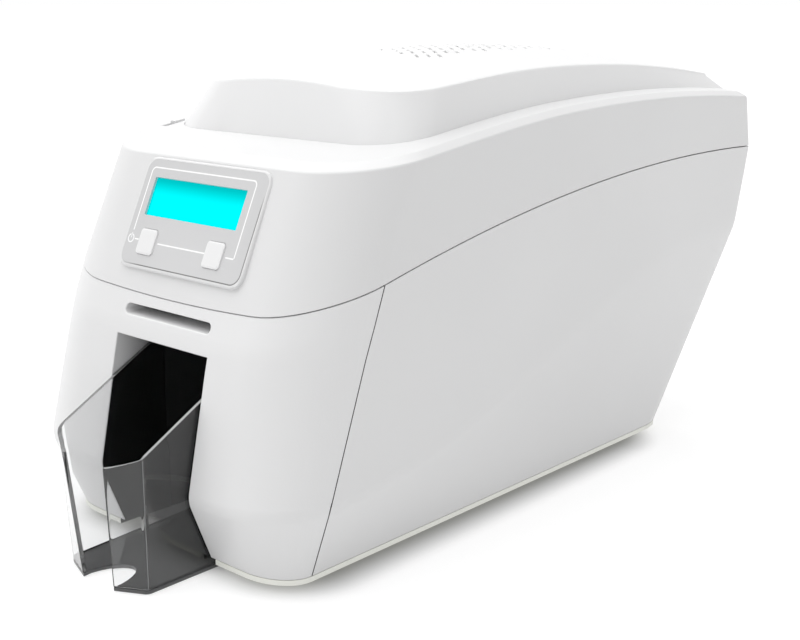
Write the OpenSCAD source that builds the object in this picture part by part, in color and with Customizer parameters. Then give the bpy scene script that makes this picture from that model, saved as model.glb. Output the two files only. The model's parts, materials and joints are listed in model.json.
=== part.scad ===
// Desktop card printer: casing with a hinged top cover, card hopper, control
// panel, feed rollers, ribbon spools, print head, fan and electronics.
// Millimetres. X is right, Y is back, Z is up, and the table is at Z = 0.
// Inside the modules Y = 0 is the face of the card slot.

/* [Casing] */
// Width of the casing at its widest
body_w = 205; // [200:0.5:212]
// From the card slot's face to the back of the casing
body_d = 400; // [396:1:406]
// Thickness of the moulded skins
wall = 2.5; // [2:0.1:3]
// Width of the joint between two casing parts
seam = 0.6; // [0.4:0.1:0.8]
// How far the front bulges past the card slot's face at its knee
knee_out = 18.1; // [16:0.5:20]
// Height of the front knee
knee_z = 39.3; // [37:0.5:42]
// How far the bottom edge stands in from the widest side
under_in = 16; // [14:0.5:17]
// How far the back wall leans in from top to bottom
back_lean = 61; // [56:1:64]
// Height of the cover joint at its highest, near the back
joint_z = 179.4; // [177:0.5:182]
// How much lower the cover joint is at the front
joint_drop = 46; // [44:0.5:48]
// How far the cover joint dips at the middle of the front
joint_smile = 5.8; // [4:0.2:7]
// How far the front corners reach sideways
corner_x = 44; // [40:1:48]
// Corner radius at the back
back_corner_r = 7; // [5:0.5:8]

/* [Top cover] */
// Height of the cover's side wall edge at its highest
edge_z = 214.8; // [212:0.5:217]
// How much lower that edge is at the front corner
edge_drop = 17; // [15:0.5:19]
// How far the cover's edges dip behind the front corners
front_sag = 1.5; // [1:0.1:2]
// Width of the sloping band above the side wall
bevel_w = 5; // [4:0.5:6]
// Height of the sloping band above the side wall
bevel_h = 3; // [2:0.5:4]
// How far the top of the front face leans back from the card slot's face
face_top_y = 33; // [32:0.5:35]
// Width of the flat shoulder on each side of the dome
shoulder_w = 11; // [9:0.5:13]
// Depth of the flat shoulder in front of the dome
shoulder_d = 31; // [28:0.5:33]
// Height of the dome's edge at its highest
dome_z = 235.2; // [233:0.5:238]
// How much the dome's edge falls towards front and back
dome_drop = 8.5; // [7:0.5:10]
// How much the dome's top rises from edge to middle
dome_crown = 9.6; // [8:0.2:11]
// How far the dome's side wall leans in
dome_lean = 8; // [6:0.5:10]
// How far the cover's release button slides forward
release_travel = 6; // [5:0.5:7]

/* [Card openings] */
// Width of the card slot
slot_w = 65.5; // [60:0.5:68]
// Height of the card slot
slot_h = 5; // [4:0.2:6]
// Height of the middle of the card slot
slot_z = 120.1; // [119:0.1:121]
// Width of the hopper opening
mouth_w = 69.8; // [69:0.1:71]
// Top of the hopper opening
mouth_z = 107.4; // [106:0.2:108]
// Depth of the white sides of the hopper opening
jamb_d = 24; // [20:1:28]

/* [Hopper] */
// Outer width of the hopper
hopper_w = 68.8; // [66:0.1:69]
// Thickness of the hopper's clear walls
hopper_t = 2; // [1.6:0.1:2.4]
// How far the hopper's nose reaches in front of the card slot's face
hopper_reach = 53; // [50:0.5:55]
// How far the hopper reaches into the casing
hopper_in = 58; // [50:1:60]
// Height of the hopper's front corners
hopper_h = 67.4; // [62:0.2:70]
// Rise of the hopper's side edges for each millimetre towards the casing
hopper_rise = 0.548; // [0.5:0.01:0.58]
// How far the hopper slides out
hopper_travel = 90; // [60:5:110]

/* [Control panel] */
// Width of the panel's face
panel_w = 90.9; // [86:0.1:94]
// Length of the panel's face down its slope
panel_h = 55.4; // [52:0.1:57]
// Lean of the panel from upright, in degrees
panel_tilt = 25.1; // [24:0.1:26]
// Corner radius of the panel's face
panel_r = 6; // [4:0.5:8]
// Width of the white rim round the panel's face
panel_rim = 1.6; // [1.2:0.1:2.2]
// Width of the display window
window_w = 70.1; // [66:0.1:72]
// Height of the display window
window_h = 20.1; // [18:0.1:21]
// Width of a button
button_w = 12.6; // [11:0.1:14]
// Height of a button
button_h = 13.1; // [12:0.1:14]
// How far a button travels
button_travel = 0.8; // [0.5:0.1:1]

/* [Card drive] */
// Radius of the rubber rollers
roller_r = 6; // [5.5:0.1:6.5]
// Radius of the roller shafts
shaft_r = 3; // [2.5:0.1:3.5]
// Length of the rubber on each roller
rubber_l = 56; // [52:1:60]
// Distance from one roller to the next
roller_pitch = 60; // [58:0.5:62]
// From the card slot's face to the first roller
first_roller_y = 38; // [36:0.5:40]
// Teeth on each large gear
gear_teeth = 30; // [30:2:30]
// Teeth on the motor's pinion
pinion_teeth = 12; // [12:2:12]
// Width of the gears
gear_w = 6; // [5:0.5:7]
// Thickness of the steel side frames
frame_t = 2; // [1.5:0.1:2.5]
// Distance between the side frames' inner faces
frame_gap = 92; // [90:0.5:96]

/* [Feet and base] */
// Height of the rubber feet
foot_h = 4.3; // [3.5:0.1:5]
// Radius of the rubber feet
foot_r = 9; // [7:0.5:11]
// Thickness of the base pan's floor
pan_t = 2; // [1.6:0.1:2.4]
// Height of the base pan's visible edge
pan_edge = 2.7; // [2.3:0.1:3.2]

/* [Hidden] */
$fn = 48;
tiny = 0.01;
rest_gap = 0.3;
run_gap = 0.05;
half_w = body_w / 2;
origin_y = (hopper_reach - body_d) / 2;

// Hinge line of the top cover
barrel_r = 4;
hinge_y = body_d - barrel_r;
hinge_z = joint_z - 1.2;
hinge_pin_r = 1.5;
barrel_gap = 0.5;

// Plan stations on half of a casing ring
N_FRONT = 6;
N_CORNER = 12;
N_SIDE = 20;
N_BACK_CORNER = 4;
N_BACK = 3;
HALF = N_FRONT + N_CORNER + N_SIDE + N_BACK_CORNER + N_BACK;
BEZEL_END = N_FRONT + N_CORNER;
SIDE_END = BEZEL_END + N_SIDE + N_BACK_CORNER;

// Heights of the lines that run round the casing
cover_bottom = foot_h + pan_edge + rest_gap;
joint_peak_y = 345;
joint_front_y = 4.5;
edge_peak_y = 272;
dome_peak_y = 220;
crease_top = 129.5;
crease_low = knee_z + 5.7;

function clamp01(t) = min(1, max(0, t));
function smooth(t) = t * t * (3 - 2 * t);
function fade(y, from, span) = clamp01(1 - max(0, y - from) / span);
function dip(x, amount) = amount * (1 - pow(min(1, abs(x) / half_w), 2));
function joint_at(x, y) =
  joint_z - joint_drop * pow((joint_peak_y - y) / (joint_peak_y - joint_front_y), 2)
  - dip(x, joint_smile) * fade(y, 0, 80);
function crease_at(x, y) =
  crease_low + (crease_top - crease_low - 8) * smooth(clamp01((y - 15) / 340))
  + 8 * clamp01((y - 15) / 365) - dip(x, crease_low - knee_z) * fade(y, -18, 60);
edge_span = 215;
sag_span = 160;
function sag(y) = let (t = clamp01((y - face_top_y) / sag_span)) 6.75 * front_sag * t * pow(1 - t, 2);
function edge_at(y) = edge_z - edge_drop * pow((edge_peak_y - y) / edge_span, 2) - sag(y);
function shoulder_at(y) = edge_at(y) + bevel_h + 1.3;
function dome_edge_at(y) = dome_z - dome_drop * pow((dome_peak_y - y) / 136.4, 2) - sag(y);
function crown_at(y) = dome_crown * (1 - 0.28 * pow((dome_peak_y - y) / 145, 2));

// Plan rings: [half width, front y, back y, corner reach x, corner reach y, back radius]
bottom_in = half_w - under_in;
back_y = body_d - barrel_r;
crease_back = back_y - 12;
function ring_mix(a, b, t) = a + (b - a) * t;
BOTTOM = [bottom_in, -5.4, back_y - back_lean, 27, 18.5, 25];
CREASE = [half_w, -knee_out, crease_back, corner_x - 2, knee_out + 9.9, back_corner_r + 1];
MID_A = [half_w, -5.2, ring_mix(crease_back, back_y, 0.69), corner_x - 1, 39.2, back_corner_r];
MID_B = [half_w, -2, ring_mix(crease_back, back_y, 0.84), corner_x, 42.4, back_corner_r];
JOINT = [half_w, joint_front_y, back_y, corner_x, 42.4, back_corner_r];
EDGE = [half_w, face_top_y, back_y - 6, corner_x, 43, back_corner_r + 1];
BEVEL = [half_w - bevel_w, face_top_y + 6, back_y - 10, corner_x - 3, 41, back_corner_r - 1];
DOME_BASE = [BEVEL[0] - shoulder_w, BEVEL[1] + shoulder_d, back_y - 11, 30, 30, 3];
DOME_EDGE = [DOME_BASE[0] - dome_lean, DOME_BASE[1] + 10, back_y - 20, 38, 38, 4];

function shrink(s, d) = [s[0] - d, s[1] + d, s[2] - d, max(1, s[3] - d), max(1, s[4] - d), max(0.8, s[5] - d)];
function half_ring(s) = concat(
  [for (i = [0:N_FRONT - 1]) [(s[0] - s[3]) * i / N_FRONT, s[1]]],
  [for (i = [0:N_CORNER - 1]) let (a = 90 * i / N_CORNER)
    [s[0] - s[3] + s[3] * sin(a), s[1] + s[4] - s[4] * cos(a)]],
  [for (i = [0:N_SIDE - 1]) [s[0], s[1] + s[4] + (s[2] - s[5] - s[1] - s[4]) * i / N_SIDE]],
  [for (i = [0:N_BACK_CORNER - 1]) let (a = 90 * i / N_BACK_CORNER)
    [s[0] - s[5] + s[5] * cos(a), s[2] - s[5] + s[5] * sin(a)]],
  [for (i = [0:N_BACK]) [(s[0] - s[5]) * (1 - i / N_BACK), s[2]]]
);
function full_ring(s) = let (h = half_ring(s))
  concat(h, [for (i = [HALF - 1:-1:1]) [-h[i][0], h[i][1]]]);
function lift(s, height) = [for (p = full_ring(s)) [p[0], p[1], height(p[0], p[1])]];
function wrap(i) = (i + 4 * HALF) % (2 * HALF);
function toward(a, b, d) = a + (b - a) * d / norm(b - a);

// Heights between crease (0) and cover joint (1)
function wall_at(x, y, t) = crease_at(x, y) * (1 - t) + (joint_at(x, y) - seam / 2) * t;

body_rings = concat(
  [lift(BOTTOM, function (x, y) cover_bottom)],
  [lift(CREASE, function (x, y) wall_at(x, y, 0))],
  [lift(MID_A, function (x, y) wall_at(x, y, 0.69))],
  [lift(MID_B, function (x, y) wall_at(x, y, 0.84))],
  [lift(JOINT, function (x, y) wall_at(x, y, 1))],
  [lift(shrink(JOINT, wall), function (x, y) wall_at(x, y, 1))],
  [lift(shrink(MID_B, wall), function (x, y) wall_at(x, y, 0.84))],
  [lift(shrink(MID_A, wall), function (x, y) wall_at(x, y, 0.69))],
  [lift(shrink(CREASE, wall), function (x, y) wall_at(x, y, 0))],
  [lift(shrink(BOTTOM, wall), function (x, y) cover_bottom)]
);

cover_rings = concat(
  [lift(JOINT, function (x, y) joint_at(x, y) + seam / 2)],
  [lift(EDGE, function (x, y) edge_at(y))],
  [lift(BEVEL, function (x, y) edge_at(y) + bevel_h)],
  [lift(DOME_BASE, function (x, y) shoulder_at(y))],
  [lift(DOME_BASE, function (x, y) shoulder_at(y) - wall)],
  [lift(shrink(EDGE, wall), function (x, y) edge_at(y) - 1)],
  [lift(shrink(JOINT, wall), function (x, y) joint_at(x, y) + seam / 2)]
);

// Open run of skin: the rings go up the outside and down the inside
module skin(rings, first, last) {
  m = len(rings);
  q = m / 2;
  n = last - first;
  pts = [for (i = [0:n]) for (r = rings)
    let (p = r[wrap(first + i)])
    i == 0 ? toward(p, r[wrap(first + 1)], seam / 2)
    : i == n ? toward(p, r[wrap(last - 1)], seam / 2) : p];
  sides = [for (i = [0:n - 1]) for (k = [0:m - 1])
    let (a = i * m + k, b = i * m + (k + 1) % m, c = a + m, d = b + m)
    each [[a, b, c], [b, d, c]]];
  near = [for (k = [0:q - 2]) each [[k, m - 1 - k, k + 1], [k + 1, m - 1 - k, m - 2 - k]]];
  o = n * m;
  far = [for (k = [0:q - 2]) each
    [[o + k, o + k + 1, o + m - 1 - k], [o + k + 1, o + m - 2 - k, o + m - 1 - k]]];
  polyhedron(concat(pts), concat(sides, near, far), convexity = 10);
}

// Closed band of skin all the way round
module band(rings) {
  m = len(rings);
  n = 2 * HALF;
  pts = [for (i = [0:n - 1]) for (r = rings) r[i]];
  sides = [for (i = [0:n - 1]) for (k = [0:m - 1])
    let (a = i * m + k, b = i * m + (k + 1) % m, c = ((i + 1) % n) * m + k, d = ((i + 1) % n) * m + (k + 1) % m)
    each [[a, b, c], [b, d, c]]];
  polyhedron(pts, sides, convexity = 10);
}

// Domed lid: outer and inner stacks share a bottom rim, and each is closed by a bridge
module domed_skin(outer, inner) {
  rings = concat(outer, inner);
  m = len(rings);
  q = len(outer);
  n = 2 * HALF;
  pts = [for (i = [0:n - 1]) for (r = rings) r[i]];
  bands = [for (i = [0:n - 1]) for (k = [0:m - 1]) if (k != q - 1)
    let (j = (i + 1) % n, a = i * m + k, b = i * m + (k + 1) % m, c = j * m + k, d = j * m + (k + 1) % m)
    each [[a, b, c], [b, d, c]]];
  function bridge(k, flip) = [for (i = [0:HALF - 1])
    let (a = i * m + k, b = (i + 1) * m + k, c = ((n - i) % n) * m + k, d = (n - i - 1) * m + k)
    each (i == 0 ? (flip ? [[a, b, d]] : [[a, d, b]])
      : i == HALF - 1 ? (flip ? [[a, b, c]] : [[a, c, b]])
      : (flip ? [[a, b, c], [b, d, c]] : [[a, c, b], [b, c, d]]))];
  polyhedron(pts, concat(bands, bridge(q - 1, false), bridge(q, true)), convexity = 10);
}

module at_front() translate([0, origin_y, 0]) children();
// Bar along X from x0 to x1, centred on y, z
module xbar(x0, x1, y, z, r) translate([x0, y, z]) rotate([0, 90, 0]) cylinder(h = x1 - x0, r = r);
// Side outline given as [y, z] points, from x0 to x1
module side_plate(x0, x1, pts) translate([x0, 0, 0]) rotate([90, 0, 90]) linear_extrude(x1 - x0) polygon(pts);
module block(lo, hi) translate(lo) cube(hi - lo);
module rounded(w, h, r) {
  square([w - 2 * r, h], center = true);
  square([w, h - 2 * r], center = true);
  for (x = [-1, 1], y = [-1, 1]) translate([x * (w / 2 - r), y * (h / 2 - r)]) circle(r);
}
module tube_x(x0, x1, y, z, r, bore) difference() {
  xbar(x0, x1, y, z, r);
  xbar(x0 - 1, x1 + 1, y, z, bore);
}

// ---- Casing ----
// Front profile of the casing from bottom to cover joint, set in by d
function front_line(d) = [
  [BOTTOM[1] + d, cover_bottom], [CREASE[1] + d, knee_z],
  [MID_A[1] + d, 100], [MID_B[1] + d, 114], [JOINT[1] + d, 127]
];

module base_pan() at_front() color("#dedfd6") {
  ring_out = full_ring(BOTTOM);
  ring_in = full_ring(shrink(BOTTOM, wall + rest_gap));
  difference() {
    translate([0, 0, foot_h]) union() {
      linear_extrude(pan_edge) polygon(ring_out);
      linear_extrude(pan_edge + pan_t + 5) polygon(ring_in);
    }
    translate([0, 0, foot_h + pan_t]) linear_extrude(30) polygon(full_ring(shrink(BOTTOM, wall * 2 + rest_gap)));
    block([-mouth_w / 2 - wall - 1, -40, foot_h - 1], [mouth_w / 2 + wall + 1, hopper_in + 3, foot_h + 30]);
  }
}

module rubber_feet() at_front() color("#2b2b2b")
  for (x = [-1, 1], y = [34, BOTTOM[2] - 34])
    translate([x * (bottom_in - 20), y, 0]) cylinder(h = foot_h, r1 = foot_r - 1, r2 = foot_r);

module front_bezel() at_front() color("#f0f0f0") {
  half = mouth_w / 2;
  difference() {
    union() {
      skin(body_rings, -BEZEL_END, BEZEL_END);
      for (s = [-1, 1]) side_plate(
        s > 0 ? half : -half - wall, s > 0 ? half + wall : -half,
        concat(front_line(1), [[jamb_d, 127 - 12], [jamb_d, cover_bottom]]));
      side_plate(-half - wall, half + wall, concat(
        [for (p = front_line(1)) if (p[1] > mouth_z) p], [[jamb_d, slot_z - slot_h], [jamb_d, mouth_z], [MID_A[1] + 2.5, mouth_z]]));
    }
    block([-half, -40, 0], [half, jamb_d + 1, mouth_z]);
    translate([0, jamb_d + 1, slot_z]) rotate([90, 0, 0]) linear_extrude(jamb_d + 40) {
      square([slot_w - slot_h, slot_h], center = true);
      for (x = [-1, 1]) translate([x * (slot_w - slot_h) / 2, 0]) circle(slot_h / 2);
    }
  }
}

module left_side_cover() at_front() color("#ededed") skin(body_rings, 2 * HALF - SIDE_END, 2 * HALF - BEZEL_END);
module right_side_cover() at_front() color("#ededed") skin(body_rings, BEZEL_END, SIDE_END);

module rear_cover() at_front() color("#ececec") difference() {
  skin(body_rings, SIDE_END, 2 * HALF - SIDE_END);
  xbar(-barrel_half - 2.5, barrel_half + 2.5, hinge_y, hinge_z, barrel_r + barrel_gap);
  block([-recess_w / 2, recess_y - 1, recess_z0], [recess_w / 2, body_d + 1, recess_z1]);
}

// Recess in the back wall that holds the sockets
recess_w = body_w - 65;
recess_y = BOTTOM[2] - 13;
recess_z0 = 46;
recess_z1 = 104;
socket_z = 64;
function back_wall(z) = BOTTOM[2] + (CREASE[2] - BOTTOM[2]) * (z - cover_bottom) / (crease_top - cover_bottom);
function back_upper(z) = ring_mix(crease_back, back_y, (z - crease_top) / (hinge_z - crease_top));

module connector_panel() at_front() color("#3a3b3d") {
  lo = recess_z0 + rest_gap;
  hi = recess_z1 - rest_gap;
  half = recess_w / 2 - rest_gap;
  shell_t = 2;
  difference() {
    side_plate(-half, half, [[recess_y, lo], [back_wall(lo) - 0.2, lo], [back_wall(hi) - 0.2, hi], [recess_y, hi]]);
    block([-half + shell_t, recess_y + shell_t, lo + shell_t], [half - shell_t, body_d + 1, hi - shell_t]);
    block([inlet_x - inlet_w / 2 - 0.2, recess_y - 1, socket_z - inlet_h / 2 - 0.2],
      [inlet_x + inlet_w / 2 + 0.2, recess_y + 5, socket_z + inlet_h / 2 + 0.2]);
    block([switch_x - switch_w / 2 - 0.2, recess_y - 1, socket_z - switch_h / 2 - 0.2],
      [switch_x + switch_w / 2 + 0.2, recess_y + 5, socket_z + switch_h / 2 + 0.2]);
    block([usb_x - usb_w / 2 - 0.2, recess_y - 1, socket_z - usb_h / 2 - 0.2],
      [usb_x + usb_w / 2 + 0.2, recess_y + 5, socket_z + usb_h / 2 + 0.2]);
    block([net_x - net_w / 2 - 0.2, recess_y - 1, socket_z - net_h / 2 - 0.2],
      [net_x + net_w / 2 + 0.2, recess_y + 5, socket_z + net_h / 2 + 0.2]);
  }
}

// Sockets: centre and outer size of each
inlet_x = -recess_w / 2 + 24;
inlet_w = 28;
inlet_h = 20;
switch_x = inlet_x + 31;
switch_w = 13;
switch_h = 19;
net_x = recess_w / 2 - 20;
usb_x = net_x - 24;
usb_w = 12;
usb_h = 11;
net_w = 16;
net_h = 13.6;
socket_front = recess_y + 3.5;

// Socket body with a flange on the recess's back wall and a cavity open to the back
module socket(x, w, h, deep, rim, lip) {
  difference() {
    union() {
      block([x - w / 2, recess_y - deep, socket_z - h / 2], [x + w / 2, socket_front, socket_z + h / 2]);
      block([x - w / 2 - lip, recess_y + 2.02, socket_z - h / 2 - lip], [x + w / 2 + lip, socket_front, socket_z + h / 2 + lip]);
    }
    block([x - w / 2 + rim, recess_y - deep + 3, socket_z - h / 2 + rim],
      [x + w / 2 - rim, socket_front + 1, socket_z + h / 2 - rim]);
  }
}

module power_inlet() at_front() color("#1c1c1c") {
  socket(inlet_x, inlet_w, inlet_h, 18, 2, 3);
  for (x = [-7, 0, 7])
    block([inlet_x + x - 1, recess_y - 15.5, socket_z - 2.5 + (x == 0 ? 2 : -1)],
      [inlet_x + x + 1, recess_y - 2, socket_z + 2.5 + (x == 0 ? 2 : -1)]);
}

module switch_housing() at_front() color("#1c1c1c") difference() {
  socket(switch_x, switch_w, switch_h, 14, 1.5, 1.5);
  xbar(switch_x - switch_w / 2 - 2, switch_x + switch_w / 2 + 2, recess_y, socket_z, 1 + run_gap);
}

module rocker_switch() at_front() color("#262626") {
  w = switch_w / 2 - 2;
  side_plate(switch_x - w, switch_x + w, [
    [recess_y - 2, socket_z - 4], [recess_y + 4, socket_z - 7.2], [recess_y + 5.6, socket_z - 6.6],
    [recess_y + 4.2, socket_z], [recess_y + 5.6, socket_z + 6.6], [recess_y + 4, socket_z + 7.2], [recess_y - 2, socket_z + 4]]);
  xbar(switch_x - switch_w / 2, switch_x + switch_w / 2, recess_y, socket_z, 1);
}

module usb_socket() at_front() color("#b9bcc0") {
  socket(usb_x, usb_w, usb_h, 13, 0.8, 0);
  block([usb_x - 2.8, recess_y - 10.5, socket_z - 1.6], [usb_x + 2.8, recess_y + 1, socket_z + 1.6]);
}

module network_socket() at_front() color("#b9bcc0") {
  socket(net_x, net_w, net_h, 15, 1, 0);
  block([net_x - 6, recess_y - 12.5, socket_z + 2.5], [net_x + 6, recess_y + 1, socket_z + net_h / 2 - 1]);
}

// ---- Hopper chamber and hopper ----
liner_gap = 0.3;
liner_t = 2;
liner_back = hopper_in + 6;
liner_top = 104;

module hopper_liner() at_front() color("#1e1e1f") {
  half = mouth_w / 2;
  floor_z = foot_h + pan_t;
  difference() {
    block([-half - liner_t, jamb_d + liner_gap, floor_z], [half + liner_t, liner_back + liner_t, liner_top + liner_t]);
    block([-half, jamb_d - 1, floor_z - 1], [half, liner_back, liner_top]);
  }
}

// Plan corners of each hopper side: back, front corner, free lip, then the inner face back again
function side_plan(back_x, corner, lip) =
  let (s = sign(back_x), t = hopper_t, d = (lip - corner) / norm(lip - corner), n = [d[1] * s, -d[0] * s])
  [[back_x, hopper_in], corner, lip, lip + n * t, [corner[0] - s * t, corner[1] + t * 0.75], [back_x - s * t, hopper_in]];
module hopper_side(low, mid, s) {
  z = [rest_gap, hopper_h, liner_top - 4];
  plans = [low, mid, mid];
  order = s > 0 ? [0, 1, 2, 3, 4, 5] : [5, 4, 3, 2, 1, 0];
  pts = [for (k = [0:2]) for (i = order) [plans[k][i][0], plans[k][i][1], z[k]]];
  walls = [for (k = [0:1]) for (i = [0:5]) let (j = (i + 1) % 6, a = 6 * k + i, b = 6 * k + j)
    each [[a, b, a + 6], [b, b + 6, a + 6]]];
  ends = [[0, 1, 4], [0, 4, 5], [1, 2, 3], [1, 3, 4]];
  foot = [for (f = ends) [f[0], f[2], f[1]]];
  head = [for (f = ends) [12 + f[0], 12 + f[1], 12 + f[2]]];
  polyhedron(pts, concat(walls, foot, head), convexity = 8);
}
hopper_half = hopper_w / 2;
nose_y = -hopper_reach;
RIGHT_LOW = side_plan(hopper_half, [hopper_half - 0.4, nose_y + 10], [18.3, nose_y + 1.6]);
RIGHT_MID = side_plan(hopper_half, [hopper_half, nose_y + 10], [16.2, nose_y + 0.6]);
LEFT_LOW = side_plan(-hopper_half, [-hopper_half + 8, nose_y + 8.5], [-5, nose_y + 1]);
LEFT_MID = side_plan(-hopper_half, [-hopper_half, nose_y + 10], [-17, nose_y + 0.6]);
notch_x = 6;
notch_r = 12;
notch_d = 23;

module hopper() at_front() color([0.35, 0.36, 0.38, 0.5]) difference() {
  union() {
    hopper_side(RIGHT_LOW, RIGHT_MID, 1);
    hopper_side(LEFT_LOW, LEFT_MID, -1);
    translate([0, 0, rest_gap]) linear_extrude(hopper_t) polygon([
      LEFT_LOW[0], LEFT_LOW[1], LEFT_LOW[2], RIGHT_LOW[2], RIGHT_LOW[1], RIGHT_LOW[0]]);
    block([-hopper_half + 1, hopper_in - hopper_t, rest_gap], [hopper_half - 1, hopper_in, 40]);
  }
  // the side edges rise towards the casing, the lips dip towards the gap
  side_plate(-hopper_half - 5, hopper_half + 5, [
    [nose_y - 5, hopper_h - 6], [nose_y + 1, hopper_h - 6], [nose_y + 5, hopper_h - 3.6], [nose_y + 10, hopper_h],
    [hopper_in - 20, hopper_h + hopper_rise * (hopper_in - 20 - nose_y - 10)],
    [hopper_in + 5, hopper_h + hopper_rise * (hopper_in - 20 - nose_y - 10)], [hopper_in + 5, 150], [nose_y - 5, 150]]);
  translate([0, 0, -1]) linear_extrude(10) polygon([for (a = [180:-15:0])
    [notch_x + notch_r * cos(a), nose_y + notch_d * sin(a) - 0.5]]);
}

// ---- Chassis ----
pan_floor = foot_h + pan_t;
frame_in = frame_gap / 2;
frame_out = frame_in + frame_t;
roller_z = slot_z - 0.4 - roller_r;
guide_top = slot_z - 0.7;
exit_y = first_roller_y;
platen_y = exit_y + roller_pitch;
feed_y = platen_y + roller_pitch;
module_mm = roller_pitch / 2 / gear_teeth;
gear_x = frame_out + 1.5;
bush_r = shaft_r + 2;
stud_r = 2.5;
pinion_step = module_mm * (gear_teeth + pinion_teeth) / 2;
pinion_angle = -6 * 360 / gear_teeth;
pinion_y = platen_y + pinion_step * cos(pinion_angle);
pinion_z = roller_z + pinion_step * sin(pinion_angle);
pinion_shaft_r = 1.5;
motor_r = 14;
supply_y = 150;
supply_z = 151;
takeup_y = 63;
takeup_z = 147;
spool_pin_r = 3;
front_rod = [31, 127.5];
chassis_back = BOTTOM[2] - 35;
rods = [front_rod, [chassis_back - 14, 24], [chassis_back - 14, 140], [82, 24]];
rod_r = 2.5;

module frame(s) difference() {
  x0 = s > 0 ? frame_in : -frame_out;
  side_plate(x0, x0 + frame_t, [
    [27, pan_floor], [chassis_back, pan_floor], [chassis_back, 150], [220, 150], [190, 132], [170, 132], [162, 162], [138, 162],
    [132, 132], [84, 132], [74, 160], [54, 160], [50, 132], [36, 132], [27, 132]]);
  for (y = [exit_y, platen_y, feed_y]) xbar(x0 - 1, x0 + frame_t + 1, y, roller_z, bush_r + tiny);
  for (y = [exit_y + roller_pitch / 2, platen_y + roller_pitch / 2]) xbar(x0 - 1, x0 + frame_t + 1, y, roller_z, stud_r + tiny);
  for (p = rods) xbar(x0 - 1, x0 + frame_t + 1, p[0], p[1], rod_r + tiny);
  for (p = [[supply_y, supply_z], [takeup_y, takeup_z]]) {
    xbar(x0 - 1, x0 + frame_t + 1, p[0], p[1], spool_pin_r + run_gap);
    block([x0 - 1, p[0] - spool_pin_r - run_gap, p[1]], [x0 + frame_t + 1, p[0] + spool_pin_r + run_gap, p[1] + 40]);
  }
  xbar(x0 - 1, x0 + frame_t + 1, pinion_y, pinion_z, 5 + run_gap);
}
module foot_flange(s) difference() {
  block([s > 0 ? frame_out : -frame_out - 10, 90, pan_floor], [s > 0 ? frame_out + 10 : -frame_out, chassis_back - 20, pan_floor + frame_t]);
  for (y = [110, chassis_back - 40]) translate([s * (frame_out + 5), y, pan_floor - 1]) cylinder(h = frame_t + 2, r = 2);
}
module left_frame() at_front() color("#b4b8bc") {
  frame(-1);
  foot_flange(-1);
}
module right_frame() at_front() color("#b4b8bc") {
  frame(1);
  foot_flange(1);
}

module frame_rods() at_front() color("#c9ccd0")
  for (p = rods) xbar(-frame_out - 1, frame_out + 1, p[0], p[1], rod_r);

module shaft_bushes() at_front() color("#c7a45a")
  for (y = [exit_y, platen_y, feed_y], s = [-1, 1]) difference() {
    union() {
      xbar(s > 0 ? frame_in : -frame_out, s > 0 ? frame_out : -frame_in, y, roller_z, bush_r);
      xbar(s > 0 ? frame_in - 1 : -frame_in, s > 0 ? frame_in : -frame_in + 1, y, roller_z, bush_r + 1.5);
    }
    xbar(s > 0 ? frame_in - 2 : -frame_out - 1, s > 0 ? frame_out + 1 : -frame_in + 2, y, roller_z, shaft_r + run_gap);
  }

module idler_studs() at_front() color("#c9ccd0")
  for (y = [exit_y + roller_pitch / 2, platen_y + roller_pitch / 2]) {
    xbar(frame_in, gear_x + gear_w + 0.5, y, roller_z, stud_r);
    xbar(gear_x + gear_w + 0.5, gear_x + gear_w + 1.7, y, roller_z, stud_r + 1.5);
  }

module card_guide() at_front() color("#242526") {
  half = frame_in - rest_gap;
  window = rubber_l / 2 + 1;
  difference() {
    block([-half, jamb_d + 0.5, guide_top - 1.5], [half, feed_y + 22, guide_top]);
    for (y = [exit_y, platen_y, feed_y])
      for (cut = [[-window, window, roller_r], [-half - 1, -frame_in + 1 + rest_gap, bush_r + 2], [frame_in - 1 - rest_gap, half + 1, bush_r + 2]])
        block([cut[0], y - cut[2], guide_top - 3], [cut[1], y + cut[2], guide_top + 1]);
  }
  for (s = [-1, 1]) block([s > 0 ? window + 1 : -window - 3, jamb_d + 0.5, guide_top],
    [s > 0 ? window + 3 : -window - 1, exit_y - 12, guide_top + 3]);
}

// Spur gear: straight-flanked teeth, one tooth centred on angle turn
function gear_outline(teeth, turn) = let (step = 360 / teeth, root = module_mm * (teeth / 2 - 1.2),
  tip = module_mm * (teeth / 2 + 0.9)) [for (i = [0:teeth - 1]) for (k = [[-0.3, 0], [-0.12, 1], [0.12, 1], [0.3, 0]])
    let (a = turn + step * (i + k[0]), r = k[1] > 0 ? tip : root) [r * cos(a), r * sin(a)]];
module gear(teeth, turn, y, z, bore) difference() {
  translate([gear_x, y, z]) rotate([90, 0, 90]) linear_extrude(gear_w) polygon(gear_outline(teeth, turn));
  xbar(gear_x - 1, gear_x + gear_w + 1, y, z, bore);
}
half_tooth = 180 / gear_teeth;

module roller_shaft(y) at_front() color("#c9ccd0")
  xbar(-frame_out - 2.5, gear_x + gear_w + 1.5, y, roller_z, shaft_r);
module roller_rubber(y) at_front() color("#3b3c3e")
  tube_x(-rubber_l / 2, rubber_l / 2, y, roller_z, roller_r, shaft_r + tiny);
module roller_gear(y) at_front() color("#f3f1e7") gear(gear_teeth, 0, y, roller_z, shaft_r + tiny);
module exit_shaft() roller_shaft(exit_y);
module platen_shaft() roller_shaft(platen_y);
module feed_shaft() roller_shaft(feed_y);
module exit_rubber() roller_rubber(exit_y);
module platen_rubber() roller_rubber(platen_y);
module feed_rubber() roller_rubber(feed_y);
module exit_gear() roller_gear(exit_y);
module platen_gear() roller_gear(platen_y);
module feed_gear() roller_gear(feed_y);
module front_idler_gear() at_front() color("#f3f1e7")
  gear(gear_teeth, half_tooth, exit_y + roller_pitch / 2, roller_z, stud_r + run_gap);
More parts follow.
